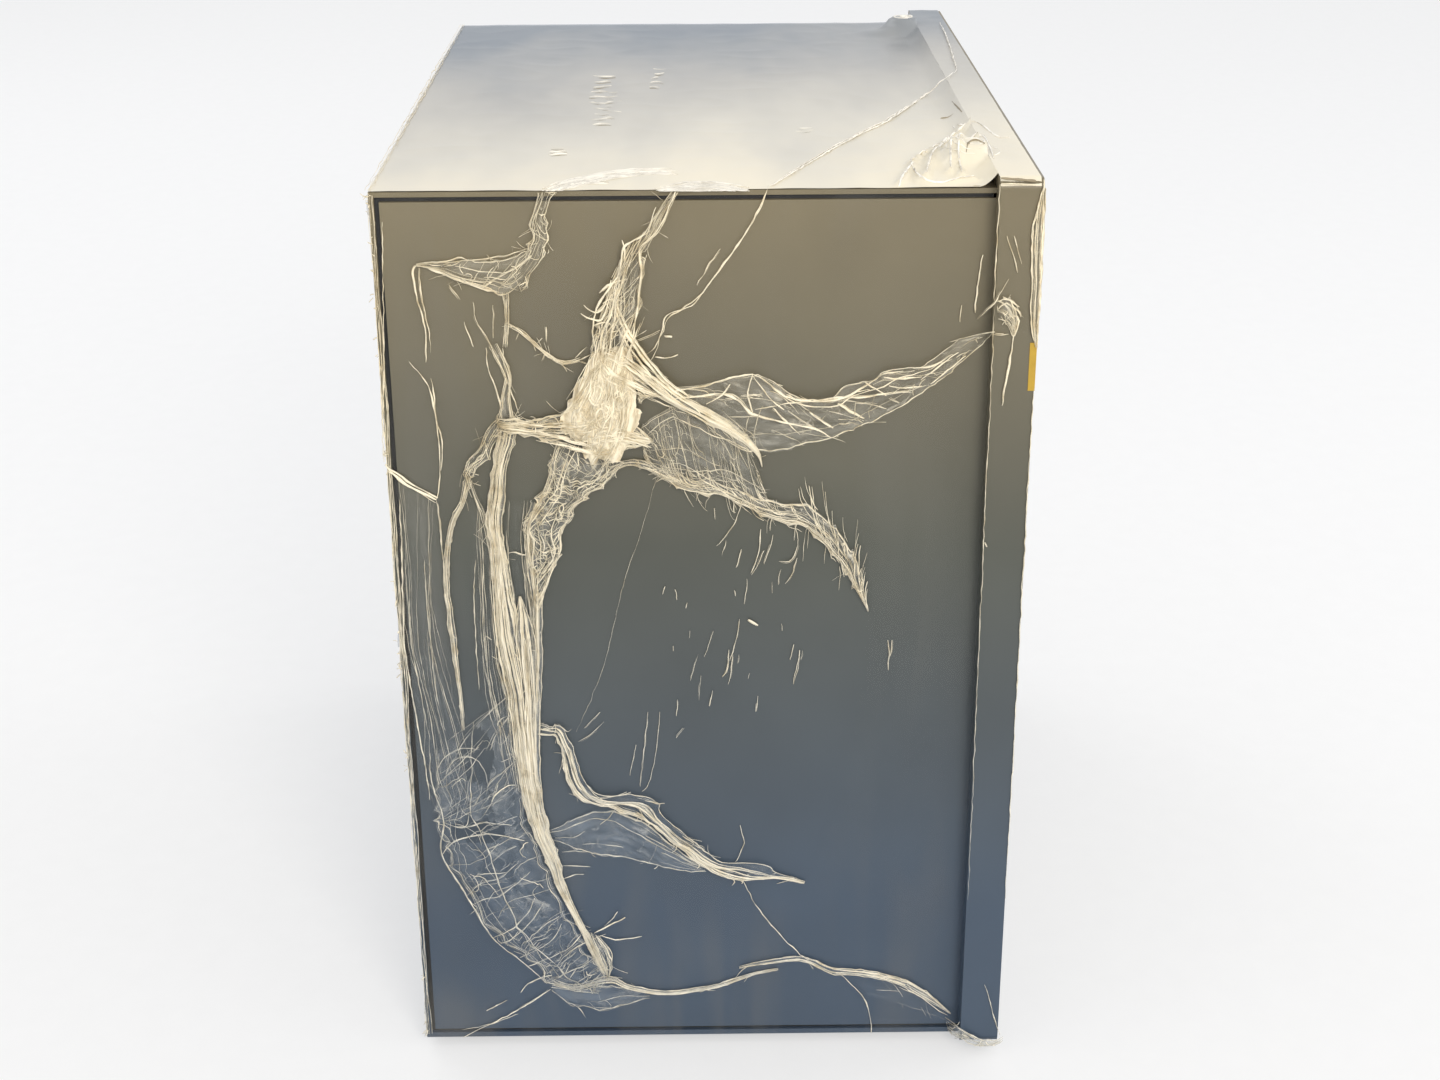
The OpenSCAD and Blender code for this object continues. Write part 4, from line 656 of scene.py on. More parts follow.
# Sheets of stretched film on the left side: their two edges in pixels, height in millimetres and finish;
# filaments along (in bundles, and near which edge) and across (with their lean), strokes, curls with their
# length, filament radius in millimetres, depth of the points that the edges are drawn out to, and hairs.
USUAL_SHEET = dict(height=2, finish="web", gain=1, bundles=0, bias="even", across=4, lean=0.1, curls=(0, 0),
                   radius=0.22, ragged=0.8, hairs=6, strokes=(), holes=())
SHEETS = {
    "neck": dict(
        left=(592, 358, 590, 338, 597, 322, 605, 299, 612, 279, 626, 246),
        right=(637, 362, 633, 328, 640, 302, 642, 272, 645, 249, 658, 219),
        height=5, gain=1.5, along=50, bundles=13, across=22, lean=0.14, curls=(34, 9), radius=0.24,
        ragged=2.2),
    "neck_high": dict(
        left=(632, 254, 645, 236, 654, 216, 672, 190),
        right=(645, 252, 654, 236, 663, 216, 680, 190),
        along=12, ragged=1, hairs=3),
    "corner_up": dict(
        left=(538, 192, 529, 217, 530, 239, 520, 258, 500, 284),
        right=(556, 192, 546, 219, 547, 239, 543, 260, 520, 291),
        height=3, gain=1.4, along=12, bias="both", across=14, lean=0.08, curls=(10, 7), ragged=2),
    "corner_web": dict(
        left=(530, 248, 514, 254, 496, 259, 471, 260, 447, 262, 416, 264),
        right=(520, 284, 505, 294, 484, 288, 462, 280, 431, 268, 416, 266),
        finish="wing", gain=1.3, along=9, bias="right", across=8, lean=0.12, curls=(16, 6), ragged=1.4,
        hairs=10),
    "corner_tail": dict(
        left=(502, 292, 505, 316, 503, 347),
        right=(508, 292, 509, 316, 507, 347),
        height=1, finish="dense", along=6, across=2, lean=0.05, radius=0.2, ragged=0.6, hairs=2),
    "corner_stem": dict(
        left=(489, 345, 497, 362, 504, 379, 501, 400, 497, 420),
        right=(498, 343, 506, 360, 511, 379, 510, 400, 515, 420),
        gain=1.3, along=14, bias="both", lean=0.05, ragged=1, hairs=3),
    "corner_link": dict(
        left=(507, 322, 520, 330, 534, 341, 545, 351, 562, 361, 580, 357),
        right=(508, 326, 520, 333, 533, 344, 545, 354, 562, 364, 580, 361),
        height=1.5, finish="dense", gain=1.5, along=7, lean=0.04, radius=0.2, ragged=0.6, hairs=7),
    "arm": dict(
        left=(566, 412, 549, 414, 533, 419, 516, 418, 497, 417),
        right=(572, 442, 549, 438, 532, 436, 514, 431, 497, 430),
        height=4, finish="dense", gain=2.7, along=64, bundles=8, across=10, lean=0.14, curls=(16, 9),
        radius=0.3, ragged=1.6, hairs=9),
    "arm_knee": dict(
        left=(498, 417, 485, 432, 476, 447, 466, 461, 463, 474),
        right=(506, 432, 495, 447, 486, 461, 475, 474, 468, 482),
        height=3, gain=1.4, along=14, bias="left", across=10, curls=(26, 8), ragged=2, hairs=8),
    "arm_drop": dict(
        left=(465, 474, 460, 498, 449, 524, 444, 560, 444, 590, 449, 634, 457, 684, 462, 730),
        right=(472, 480, 465, 502, 453, 531, 450, 560, 450, 590, 455, 634, 461, 684, 465, 730),
        gain=1.4, along=14, bundles=4, across=6, lean=0.02, ragged=1.2, hairs=5),
    "arm_loop": dict(
        left=(466, 474, 474, 500, 482, 520, 489, 552, 493, 590),
        right=(472, 474, 480, 498, 489, 517, 496, 552, 499, 590),
        finish="faint", along=9, bundles=3, across=2, lean=0.05, hairs=2),
    "rope": dict(
        left=(499, 428, 494, 458, 489, 488, 486, 520, 491, 554, 494, 589, 497, 640, 507, 692, 514, 734,
              521, 782, 529, 820, 543, 852, 556, 885, 573, 916, 588, 947, 603, 974),
        right=(517, 432, 510, 458, 506, 488, 503, 518, 507, 554, 511, 585, 520, 620, 533, 692, 537, 734,
               540, 782, 548, 820, 558, 852, 566, 885, 579, 916, 593, 940, 607, 972),
        height=4, finish="rope", gain=2.2, along=130, bundles=17, across=6, lean=0.03, curls=(40, 14),
        radius=0.26),
    "rope_heart": dict(
        left=(519, 596, 515, 622, 512, 650, 515, 692, 520, 734, 526, 782, 535, 822, 548, 856, 561, 890,
              577, 921, 590, 945),
        right=(521, 596, 531, 622, 537, 650, 540, 692, 540, 734, 541, 782, 547, 822, 557, 856, 568, 890,
               582, 921, 594, 945),
        height=5, finish="dense", gain=2.4, along=60, bundles=7, across=2, lean=0.02, radius=0.3, ragged=0.5,
        hairs=2),
    "inner_rope": dict(
        left=(531, 500, 525, 520, 524, 540, 528, 570, 533, 610, 535, 650, 533, 700, 530, 760),
        right=(541, 505, 536, 524, 534, 542, 538, 570, 542, 610, 542, 650, 541, 700, 538, 760),
        height=3, finish="dense", gain=1.8, along=30, bundles=4, lean=0.03, radius=0.24, hairs=2),
    "between_ropes": dict(
        left=(506, 500, 506, 540, 511, 585, 520, 630, 530, 680),
        right=(528, 500, 526, 540, 530, 585, 534, 630, 535, 680),
        height=1, finish="faint", along=12, bias="both", across=2, lean=0.02, radius=0.16, ragged=0.5,
        hairs=0),
    "drape": dict(
        left=(556, 440, 547, 470, 536, 500, 527, 520, 528, 560, 533, 590, 537, 612),
        right=(624, 462, 600, 484, 580, 502, 567, 522, 563, 545, 554, 566, 541, 604),
        height=5, finish="crumple", gain=1.5, along=26, bias="both", across=20, lean=0.09, curls=(190, 11),
        radius=0.25, ragged=2.4),
    "arch_left": dict(
        left=(606, 462, 626, 460, 650, 462, 672, 470, 695, 480),
        right=(596, 484, 625, 466, 650, 470, 668, 481, 690, 490),
        height=3, finish="blue", along=16, bias="right", across=12, lean=0.06, curls=(36, 7), radius=0.2,
        ragged=1.4),
    "curtain": dict(
        left=(640, 430, 664, 408, 685, 408, 712, 420, 738, 436, 752, 452),
        right=(646, 468, 672, 482, 697, 491, 717, 492, 740, 499, 772, 514),
        height=3, finish="blue", along=8, across=22, lean=0.14, curls=(44, 7), radius=0.17, ragged=1.6,
        hairs=4, strokes=((24, 0, 0.35, 0.1, 0.9, -0.2, 0.7), (40, 0.3, 0.8, 0.1, 0.5, -0.2, 0.9),)),
    "arch": dict(
        left=(655, 468, 672, 472, 690, 478, 712, 480, 738, 490, 756, 497, 778, 500, 800, 502, 817, 508,
              835, 526, 849, 543, 857, 560, 862, 582, 867, 606),
        right=(652, 470, 670, 482, 690, 491, 717, 496, 740, 502, 758, 511, 778, 521, 800, 526, 817, 538,
               832, 552, 843, 566, 850, 577, 857, 590, 868, 610),
        height=3, gain=1.6, along=26, bias="right", across=14, lean=0.06, curls=(44, 7), radius=0.24,
        ragged=2, hairs=5, strokes=((46, -0.9, 0.1, 0.08, 1.1, -0.2, 1.0),
        (22, -1.5, -0.6, 0.09, 1.4, -0.2, 0.8), (14, 0.7, 1.0, -0.03, 1.3, 0.2, 0.4),)),
    "wing": dict(
        left=(672, 388, 714, 382, 732, 376, 754, 374, 768, 378, 786, 390, 804, 398, 830, 397, 844, 385,
              871, 379, 881, 372, 907, 367, 922, 366, 946, 348, 961, 338, 994, 331),
        right=(690, 408, 714, 432, 742, 450, 763, 451, 784, 450, 809, 443, 840, 434, 858, 427, 876, 420,
               902, 406, 928, 388, 945, 376, 956, 367, 966, 358, 987, 339, 995, 332),
        height=4, finish="wing", gain=1.5, along=3, bias="left", across=8, lean=0.06, hairs=5,
        strokes=((16, 0.35, 0.75, 0.07, 0.35, 0.15, 0.8), (18, 0.02, 0.3, 0.05, 0.12, 0.2, 0.9),
        (14, 0.3, 0.7, -0.04, 0.3, 0.1, 0.4),)),
    "wing_rope": dict(
        left=(628, 350, 650, 368, 678, 392, 715, 411, 741, 430, 758, 448, 762, 466),
        right=(620, 372, 640, 386, 668, 401, 700, 419, 735, 437, 755, 452, 762, 467),
        height=5, finish="rope", gain=2.4, along=90, bundles=13, radius=0.28, hairs=5),
    "wing_root": dict(
        left=(636, 374, 646, 384, 660, 392, 672, 398),
        right=(638, 404, 648, 398, 658, 396, 670, 402),
        height=4, finish="dense", gain=1.8, along=6, across=36, curls=(10, 6), ragged=1.2, hairs=2),
    "leaf": dict(
        left=(606, 432, 625, 422, 640, 430, 653, 440),
        right=(612, 456, 624, 448, 640, 445, 653, 441),
        height=4, finish="dense", gain=3.0, along=44, across=12, lean=0.2, curls=(10, 6), radius=0.36,
        hairs=0),
    "shelf": dict(
        left=(540, 724, 552, 726, 560, 726, 570, 738, 575, 752, 583, 775, 600, 793, 649, 795, 666, 815,
              690, 839, 720, 860, 759, 863, 781, 873, 805, 881),
        right=(538, 734, 549, 735, 556, 736, 562, 752, 566, 775, 576, 794, 594, 804, 621, 810, 649, 822,
               673, 843, 700, 864, 730, 878, 770, 877, 804, 883),
        height=4, gain=1.7, along=40, bundles=8, bias="right", across=8, lean=0.04, radius=0.26, ragged=1.4,
        hairs=14, strokes=((14, 0.5, 1, 0.05, 0.6, 0.2, 0.9), (10, 0, 0.3, 0.06, -0.5, 0.2, 0.6),)),
    "shelf_web": dict(
        left=(548, 830, 572, 820, 594, 810, 621, 812, 649, 824, 673, 845, 704, 866),
        right=(552, 840, 575, 848, 594, 853, 621, 857, 649, 863, 676, 869, 706, 872),
        height=3, finish="blue", along=4, bias="both", across=2, lean=-0.1, radius=0.2, ragged=1.0, hairs=5,
        strokes=((8, 0.2, 0.9, 0.35, -0.15, 0.1, 0.5),)),
    "foot_web": dict(
        left=(434, 750, 434, 778, 436, 810, 437, 826, 448, 854, 462, 882, 494, 930, 528, 958, 546, 975,
              573, 990, 594, 996),
        right=(516, 690, 517, 740, 522, 784, 530, 822, 543, 852, 556, 886, 573, 918, 587, 948, 600, 965,
               606, 974, 612, 980),
        height=5, finish="crinkle", along=5, bias="left", across=20, lean=-0.06, curls=(46, 12), radius=0.2,
        ragged=3, hairs=10, holes=((476, 752, 8, 13), (478, 827, 12, 6)),
        strokes=((34, 0.0, 0.3, -0.07, 0.8, 0.12, 0.6), (30, 0.3, 0.7, -0.05, 0.5, 0.12, 0.4),)),
    "foot_veil": dict(
        left=(545, 975, 566, 985, 583, 988, 604, 985, 628, 986, 650, 992),
        right=(552, 990, 566, 1000, 583, 1007, 604, 1008, 628, 1004, 650, 998),
        finish="blue", along=4, lean=0.05, radius=0.18, ragged=1.4, hairs=2),
    "foot_fan": dict(
        left=(586, 930, 594, 948, 602, 962, 607, 976),
        right=(600, 936, 612, 950, 613, 962, 609, 978),
        height=3, gain=1.6, along=20, ragged=1, hairs=3),
    "foot_line": dict(
        left=(553, 978, 575, 984, 609, 976, 628, 984, 656, 990, 683, 989, 720, 983, 751, 973, 778, 968),
        right=(551, 988, 575, 989, 609, 983, 628, 989, 656, 994, 683, 993, 720, 987, 751, 976, 778, 970),
        finish="dense", gain=1.6, along=16, bundles=4, across=2, lean=0.05, hairs=3),
    "fan": dict(
        left=(470, 500, 470, 560, 474, 640, 482, 700, 492, 740, 504, 790),
        right=(490, 520, 493, 580, 499, 660, 508, 700, 514, 740, 522, 790),
        height=1.5, finish="faint", along=16, bundles=6, across=0, radius=0.16, ragged=0.5, hairs=0),
    "veil_left": dict(
        left=(388, 470, 395, 560, 400, 640, 408, 700, 418, 770, 428, 815),
        right=(440, 500, 443, 580, 450, 640, 464, 700, 480, 760, 492, 800),
        height=1, finish="faint", along=14, bundles=7, across=0, lean=0.02, radius=0.13, ragged=0.5, hairs=0),
    "low_right": dict(
        left=(739, 966, 767, 960, 799, 956, 815, 960, 834, 967, 861, 969, 888, 974, 909, 981, 928, 992,
              950, 1012),
        right=(739, 968, 767, 964, 799, 961, 815, 966, 834, 974, 861, 976, 888, 981, 909, 990, 928, 1001,
               951, 1014),
        finish="dense", gain=1.5, along=14, bundles=4, lean=0.05, hairs=4),
    "low_right_veil": dict(
        left=(852, 978, 888, 980, 909, 988, 928, 999, 948, 1013),
        right=(866, 1000, 888, 1004, 909, 1010, 928, 1016, 945, 1022),
        height=1.5, finish="faint", along=3, lean=0.05, radius=0.14, ragged=1, hairs=0),
    "bezel_knot": dict(
        left=(997, 302, 1004, 298, 1012, 303, 1018, 313, 1016, 325, 1014, 334),
        right=(998, 320, 1003, 322, 1006, 324, 1009, 328, 1011, 331, 1013, 335),
        height=3, finish="crumple", gain=1.5, along=8, across=6, lean=0.15, curls=(6, 5), ragged=1.5),
    "bezel_fold": dict(
        left=(1043, 189, 1037, 212, 1032, 235, 1032, 279, 1031, 321, 1036, 347),
        right=(1044, 182, 1043, 212, 1042, 235, 1040, 279, 1038, 321, 1037, 349),
        height=1.5, finish="wing", gain=1.6, along=7, across=3, lean=0.04, radius=0.2, ragged=0.6, hairs=0),
    "corner_bunch": dict(
        left=(946, 1020, 962, 1030, 975, 1036, 992, 1040, 1003, 1036),
        right=(948, 1030, 962, 1039, 975, 1044, 992, 1045, 1002, 1042),
        finish="crumple", along=12, across=10, curls=(20, 6), radius=0.2, ragged=1.2, hairs=5),
}
# Single strands by face (raised is the side, on top of the sheets): radius in millimetres and route in pixels.
STRANDS = {
    "side": (
        (0.3, 507, 323, 520, 331, 533, 342, 545, 352, 562, 362, 580, 359, 592, 354),
        (0.26, 508, 326, 522, 330, 536, 344, 547, 356, 560, 360, 578, 361), (0.2, 520, 331, 516, 339),
        (0.2, 533, 342, 536, 351), (0.2, 545, 352, 541, 361), (0.22, 562, 362, 567, 372),
        (0.24, 575, 358, 587, 347), (0.24, 578, 361, 593, 366), (0.6, 532, 256, 515, 268, 496, 279, 481, 288),
        (0.75, 416, 265, 431, 269, 447, 275, 462, 281, 484, 289, 505, 294),
        (0.26, 416, 264, 433, 262, 447, 261, 460, 258, 471, 260, 496, 257, 514, 253, 530, 247),
        (0.3, 678, 391, 703, 397, 729, 394, 741, 400, 752, 413),
        (0.3, 726, 417, 758, 417, 788, 423, 811, 426, 823, 432),
        (0.34, 791, 397, 823, 403, 852, 398, 882, 395, 911, 390, 926, 385), (0.3, 844, 400, 870, 404, 886, 409),
        (0.3, 829, 411, 841, 414, 864, 421), (0.26, 788, 411, 802, 420, 817, 429),
        (0.3, 923, 367, 938, 364, 952, 359), (0.28, 873, 385, 884, 380, 893, 380), (0.24, 889, 398, 899, 403),
        (0.36, 768, 188, 761, 206, 748, 229, 728, 259, 708, 285, 692, 305, 668, 315, 662, 329, 657, 348,
         650, 362),
        (0.26, 768, 188, 757, 212, 742, 238, 722, 266, 702, 293, 684, 308, 669, 318, 661, 336, 652, 350,
         640, 358),
        (0.22, 720, 249, 710, 263, 697, 285), (0.3, 655, 357, 665, 358, 678, 355),
        (0.25, 636, 340, 648, 336, 660, 330), (0.6, 664, 336, 668, 336, 672, 337),
        (0.36, 416, 265, 413, 273, 417, 297, 425, 328, 426, 362), (0.3, 419, 268, 422, 300, 429, 330, 431, 353),
        (0.28, 382, 222, 383, 290, 384, 365, 383, 420, 384, 462),
        (0.34, 409, 362, 426, 382, 433, 401, 438, 435, 440, 471, 437, 499),
        (0.3, 431, 378, 434, 395, 436, 420, 442, 440, 441, 470), (0.6, 385, 464, 397, 478, 416, 490, 437, 500),
        (0.5, 386, 466, 397, 474, 418, 488, 438, 498), (0.4, 387, 470, 403, 481, 420, 493, 436, 503),
        (0.3, 437, 501, 440, 528, 443, 560), (0.22, 473, 302, 476, 319, 489, 342, 499, 358),
        (0.24, 464, 322, 473, 347), (0.2, 493, 305, 493, 338),
        (0.3, 486, 348, 488, 368, 496, 388, 501, 408, 502, 418), (0.3, 503, 348, 505, 372, 512, 395, 519, 413),
        (0.24, 546, 327, 547, 343), (0.24, 484, 263, 470, 286), (0.22, 500, 262, 486, 282, 481, 288),
        (0.26, 449, 285, 460, 300), (0.35, 508, 553, 516, 552, 524, 555, 532, 554),
        (0.3, 492, 640, 486, 636, 484, 644), (0.28, 508, 716, 500, 720, 498, 726),
        (0.24, 476, 560, 474, 600, 476, 640, 479, 690),
        (0.3, 399, 500, 402, 560, 404, 640, 413, 700, 424, 760, 430, 800),
        (0.2, 405, 560, 411, 640, 420, 690, 430, 740), (0.2, 424, 560, 428, 620, 436, 690, 445, 730),
        (0.1, 656, 476, 644, 523, 624, 582, 606, 658, 588, 706, 576, 732),
        (0.24, 741, 505, 735, 522, 727, 535, 717, 546), (0.24, 761, 529, 758, 555, 751, 573),
        (0.22, 773, 535, 769, 550, 764, 564), (0.24, 794, 523, 798, 543, 791, 560, 779, 562),
        (0.22, 797, 558, 793, 572, 785, 584), (0.2, 741, 549, 736, 568), (0.5, 748, 619, 758, 626),
        (0.18, 726, 540, 722, 556), (0.22, 665, 586, 663, 594), (0.2, 675, 590, 677, 600),
        (0.28, 729, 650, 728, 668, 722, 677), (0.22, 733, 655, 731, 672, 728, 684), (0.24, 713, 690, 709, 706),
        (0.24, 758, 696, 756, 712), (0.24, 800, 650, 796, 670, 793, 684), (0.2, 794, 644, 790, 660),
        (0.3, 888, 640, 889, 654, 888, 670), (0.2, 892, 640, 890, 656), (0.2, 764, 551, 759, 563, 752, 575),
        (0.16, 747, 579, 746, 590, 744, 604), (0.2, 739, 619, 737, 636, 733, 652, 730, 660),
        (0.13, 698, 654, 693, 671, 690, 681), (0.13, 701, 675, 699, 700), (0.13, 713, 631, 708, 646, 704, 657),
        (0.16, 687, 603, 686, 608), (0.13, 690, 631, 689, 638), (0.15, 673, 646, 673, 651),
        (0.2, 734, 590, 735, 596), (0.15, 781, 624, 782, 631), (0.14, 803, 651, 800, 660),
        (0.14, 739, 655, 738, 663), (0.13, 750, 673, 748, 679), (0.14, 781, 569, 778, 585),
        (0.13, 772, 582, 773, 593), (0.14, 840, 566, 840, 578, 839, 590), (0.15, 714, 508, 715, 520),
        (0.22, 660, 712, 657, 745, 650, 780, 642, 792), (0.22, 648, 712, 644, 750, 640, 786),
        (0.2, 636, 745, 630, 775), (0.24, 684, 728, 676, 738), (0.24, 678, 700, 676, 716),
        (0.2, 604, 722, 590, 735, 578, 742), (0.2, 600, 712, 584, 728),
        (0.3, 743, 880, 756, 905, 775, 929, 802, 956, 810, 959), (0.26, 735, 862, 744, 844, 740, 825),
        (0.28, 839, 973, 853, 986, 866, 1002, 871, 1020, 871, 1033), (0.4, 594, 933, 614, 923, 625, 918),
        (0.3, 600, 935, 618, 940, 642, 936), (0.24, 604, 926, 611, 920, 618, 912),
        (0.24, 560, 880, 576, 875, 584, 874), (0.24, 560, 866, 576, 866, 590, 867),
        (0.2, 562, 852, 576, 851, 588, 852), (0.34, 552, 975, 532, 981, 521, 992), (0.3, 507, 1000, 487, 1011),
        (0.34, 551, 989, 530, 1003, 507, 1016, 463, 1037), (0.24, 518, 1014, 490, 1024, 462, 1030),
        (0.3, 700, 992, 724, 982, 751, 974, 778, 969), (0.4, 975, 313, 978, 284, 983, 255),
        (0.22, 960, 322, 962, 305), (0.26, 978, 319, 994, 303, 1009, 279),
        (0.45, 1014, 334, 1011, 356, 1005, 388, 1002, 406), (0.24, 1007, 236, 1013, 254, 1018, 273),
        (0.2, 1014, 236, 1018, 250, 1022, 264), (0.24, 994, 300, 997, 240, 1000, 184),
        (0.3, 993, 334, 1001, 335, 1009, 334), (0.5, 998, 300, 1006, 306, 1013, 316, 1015, 335),
        (0.4, 997, 310, 1006, 303, 1018, 311, 1021, 317), (0.4, 1002, 324, 1010, 316, 1019, 319, 1015, 336),
        (0.4, 1003, 296, 1012, 301, 1019, 307), (0.3, 1001, 316, 1008, 326, 1013, 336),
        (0.3, 1001, 183, 1018, 184, 1036, 185), (0.42, 1044, 180, 1043, 225, 1041, 270, 1039, 310, 1037, 346),
        (0.34, 1043, 189, 1037, 212, 1032, 235, 1032, 279, 1031, 321, 1036, 347),
        (0.24, 1040, 204, 1035, 240, 1036, 282, 1034, 322, 1036, 344), (0.22, 985, 985, 992, 1010, 1000, 1035),
        # The three strands that start on the next two lines are painted highlights: a pale glint down each edge of
        # the frame's side, and a bright dot on its edge.
        (0.2, 994, 304, 991.5, 380, 986, 490, 980.5, 615, 974, 760, 968, 900),
        (0.24, 1034, 388, 1029, 470, 1024, 560, 1019.5, 640, 1013, 760, 1005, 900), (0.55, 985, 543, 987, 547),
        (0.26, 945, 1017, 962, 1030, 984, 1042),),
    "raised": (
        (0.7, 611, 294, 619, 319, 635, 348, 664, 383, 686, 400),
        (0.6, 612, 286, 622, 318, 639, 347, 667, 381, 690, 397),
        (0.5, 606, 304, 616, 324, 631, 350, 660, 386, 682, 404),
        (0.5, 675, 192, 659, 228, 640, 249, 641, 276, 634, 329, 630, 351),
        (0.5, 656, 207, 645, 233, 624, 247, 619, 273, 597, 308, 593, 338, 597, 352),
        (0.4, 581, 313, 591, 319, 602, 319, 611, 294), (0.4, 584, 306, 596, 313, 606, 303, 611, 280),
        (0.4, 599, 293, 608, 285, 618, 281, 628, 279), (0.34, 622, 240, 625, 250, 624, 262),
        (0.34, 603, 303, 612, 299, 624, 301), (0.3, 594, 325, 606, 322, 614, 328),
        (0.26, 430, 753, 432, 783, 444, 821, 442, 854, 467, 896, 493, 938, 528, 966, 547, 984),
        (0.3, 442, 854, 452, 843, 467, 837, 484, 834, 500, 835, 524, 841),
        (0.22, 443, 822, 462, 828, 484, 823, 512, 826),
        (0.22, 472, 905, 486, 899, 500, 896, 514, 886, 530, 872),
        (0.22, 467, 896, 480, 884, 500, 878, 518, 862),
        (0.26, 493, 938, 506, 932, 516, 926, 526, 915, 535, 898),
        (0.22, 500, 944, 516, 936, 534, 918, 544, 902),
        (0.26, 528, 966, 542, 961, 556, 955, 570, 947, 581, 935),
        (0.22, 520, 958, 536, 950, 552, 940, 562, 924),
        (0.2, 444, 780, 450, 765, 459, 758, 472, 758, 483, 768, 488, 785),
        (0.18, 437, 770, 446, 756, 462, 748, 480, 750), (0.18, 470, 812, 478, 800, 482, 786),
        (0.18, 484, 814, 493, 800, 498, 784), (0.18, 486, 868, 502, 854, 516, 846),
        (0.5, 672, 392, 694, 388, 715, 383, 734, 377, 753, 374),
        (0.6, 674, 399, 698, 396, 722, 394, 737, 400, 748, 410, 753, 414, 787, 423, 812, 428, 831, 437),
        (0.45, 755, 410, 784, 404, 813, 401, 840, 397, 867, 397, 890, 393, 911, 392),
        (0.5, 753, 374, 765, 381, 787, 397, 812, 401, 840, 399, 862, 388, 884, 374, 903, 371),
        (0.4, 773, 408, 785, 420, 800, 435), (0.45, 809, 412, 820, 420, 833, 428),
        (0.45, 838, 404, 850, 411, 864, 418), (0.4, 865, 382, 876, 389, 886, 396),
        (0.45, 884, 378, 902, 379, 922, 377), (0.4, 889, 386, 905, 388, 922, 386),
        (0.4, 753, 374, 748, 392, 752, 412), (0.34, 753, 376, 770, 398, 784, 410),
        (0.34, 730, 384, 722, 395, 706, 404), (0.34, 913, 368, 932, 366, 951, 356),
        (0.34, 921, 380, 940, 366, 958, 352), (0.3, 931, 384, 948, 370, 966, 356),),
    "top": (
        (0.42, 770, 186, 800, 168, 830, 150, 860, 134, 887, 121, 908, 107, 927, 94, 943, 80, 957, 70),
        (0.3, 768, 187, 800, 166, 830, 148, 861, 132, 887, 119, 909, 105, 930, 91),
        (0.3, 957, 70, 954, 59, 948, 40, 940, 22),),
}
RAISED_LIFT, STRAND_LIFT = 4.2 * MM, 1.0 * MM
FULL_RADIUS = 0.34
HAIR_REACH = 7


def side_sheets(membranes, strands, rng):
    """Each sheet's film, and the strands on it."""
    for number, (name, own) in enumerate(SHEETS.items()):
        entry = USUAL_SHEET | own
        radius, soft = entry["radius"], entry["finish"] == "faint"
        sheet = Sheet(entry["left"], entry["right"], entry["height"], number + 1, entry["ragged"])
        membrane("film_" + name, sheet, membranes[entry["finish"]], entry["holes"], soft)
        heap = Heap(entry["gain"])
        along(heap, sheet, entry["along"], radius, rng, entry["bias"], entry["bundles"])
        across(heap, sheet, entry["across"], entry["lean"], radius * 0.9, rng)
        strokes(heap, sheet, entry["strokes"], radius, rng)
        curls(heap, sheet, *entry["curls"], radius, rng)
        if not soft:
            edges(heap, sheet, radius * 1.1, rng)
        fringe(heap, sheet, entry["hairs"], HAIR_REACH, rng)
        heap.piece("film_" + name + "_strands", strands)


def single_strands(strands, highlit_strands, rng):
    """Each strand, and a thinner ghost beside part of it."""
    side_heap, top_heap = Heap(), Heap()
    for face, rows in STRANDS.items():
        heap, lift = top_heap if face == "top" else side_heap, RAISED_LIFT if face == "raised" else STRAND_LIFT
        for radius, *pixels in rows:
            route = route_of(pixels, "side" if face == "raised" else face, lift)
            steps = max(6, int(path_length(route) / (2 * MM)))
            level = min(1.0, radius / FULL_RADIUS)
            for share, ghost in ((1, 1), (rng.uniform(0.5, 0.9), 0.45)):
                first = 0 if share == 1 else rng.uniform(0, 1 - share)
                shift = Vector((0, rng.uniform(-0.8, 0.8), rng.uniform(-0.8, 0.8))) * MM * (1 - ghost)
                centres = [curve_point(route, first + share * i / steps) + shift for i in range(steps + 1)]
                filament(heap, [c + 0.4 * MM * noise.noise_vector(c * 260) for c in centres],
                         radius * ghost ** 0.5 * MM, level * ghost, 4)
    side_heap.piece("film_threads", strands)
    top_heap.piece("film_top_threads", highlit_strands)


# ---------------------------------------------------------------- knot

KNOT_OUTLINE = (592, 354, 602, 348, 614, 345, 632, 353, 636, 376, 635, 398, 641, 412, 637, 426, 630, 440,
                617, 459, 603, 458, 595, 464, 586, 454, 581, 442, 567, 431, 562, 423, 566, 406, 575, 387,
                583, 372)
# Swirls of folds on the knot: middle and radius, in pixels.
KNOT_SWIRLS = ((607, 364, 11), (598, 386, 13), (582, 414, 12), (606, 436, 15), (622, 396, 10), (620, 428, 9),
               (588, 440, 9), (604, 408, 14))
# Folds that run from the neck, the arm, the wing and the leaf onto the knot, in pixels.
KNOT_RUNS = (
    (614, 296, 606, 330, 602, 356, 598, 384, 586, 408),
    (640, 308, 630, 334, 620, 358, 612, 390, 608, 420),
    (516, 424, 545, 426, 568, 424, 590, 420, 612, 410),
    (530, 432, 556, 436, 578, 442, 600, 448),
    (545, 416, 566, 408, 580, 390, 592, 368, 606, 350),
    (700, 414, 664, 398, 638, 386, 614, 372, 600, 358),
    (684, 402, 654, 380, 630, 360, 608, 350),
    (654, 441, 636, 434, 614, 430, 592, 434),
    (612, 352, 618, 380, 620, 410, 612, 440, 600, 462))
# Where the folds down the knot begin and end, in pixels: x and y of their upper and of their lower ends.
UPPER_X, UPPER_Y, LOWER_X, LOWER_Y = (590, 634), (346, 400), (570, 626), (410, 458)
KNOT_DEPTH, KNOT_HEIGHT = 13 * MM, 8 * MM
KNOT_RINGS, KNOT_SIDES, RIM_POINTS = 22, 110, 76


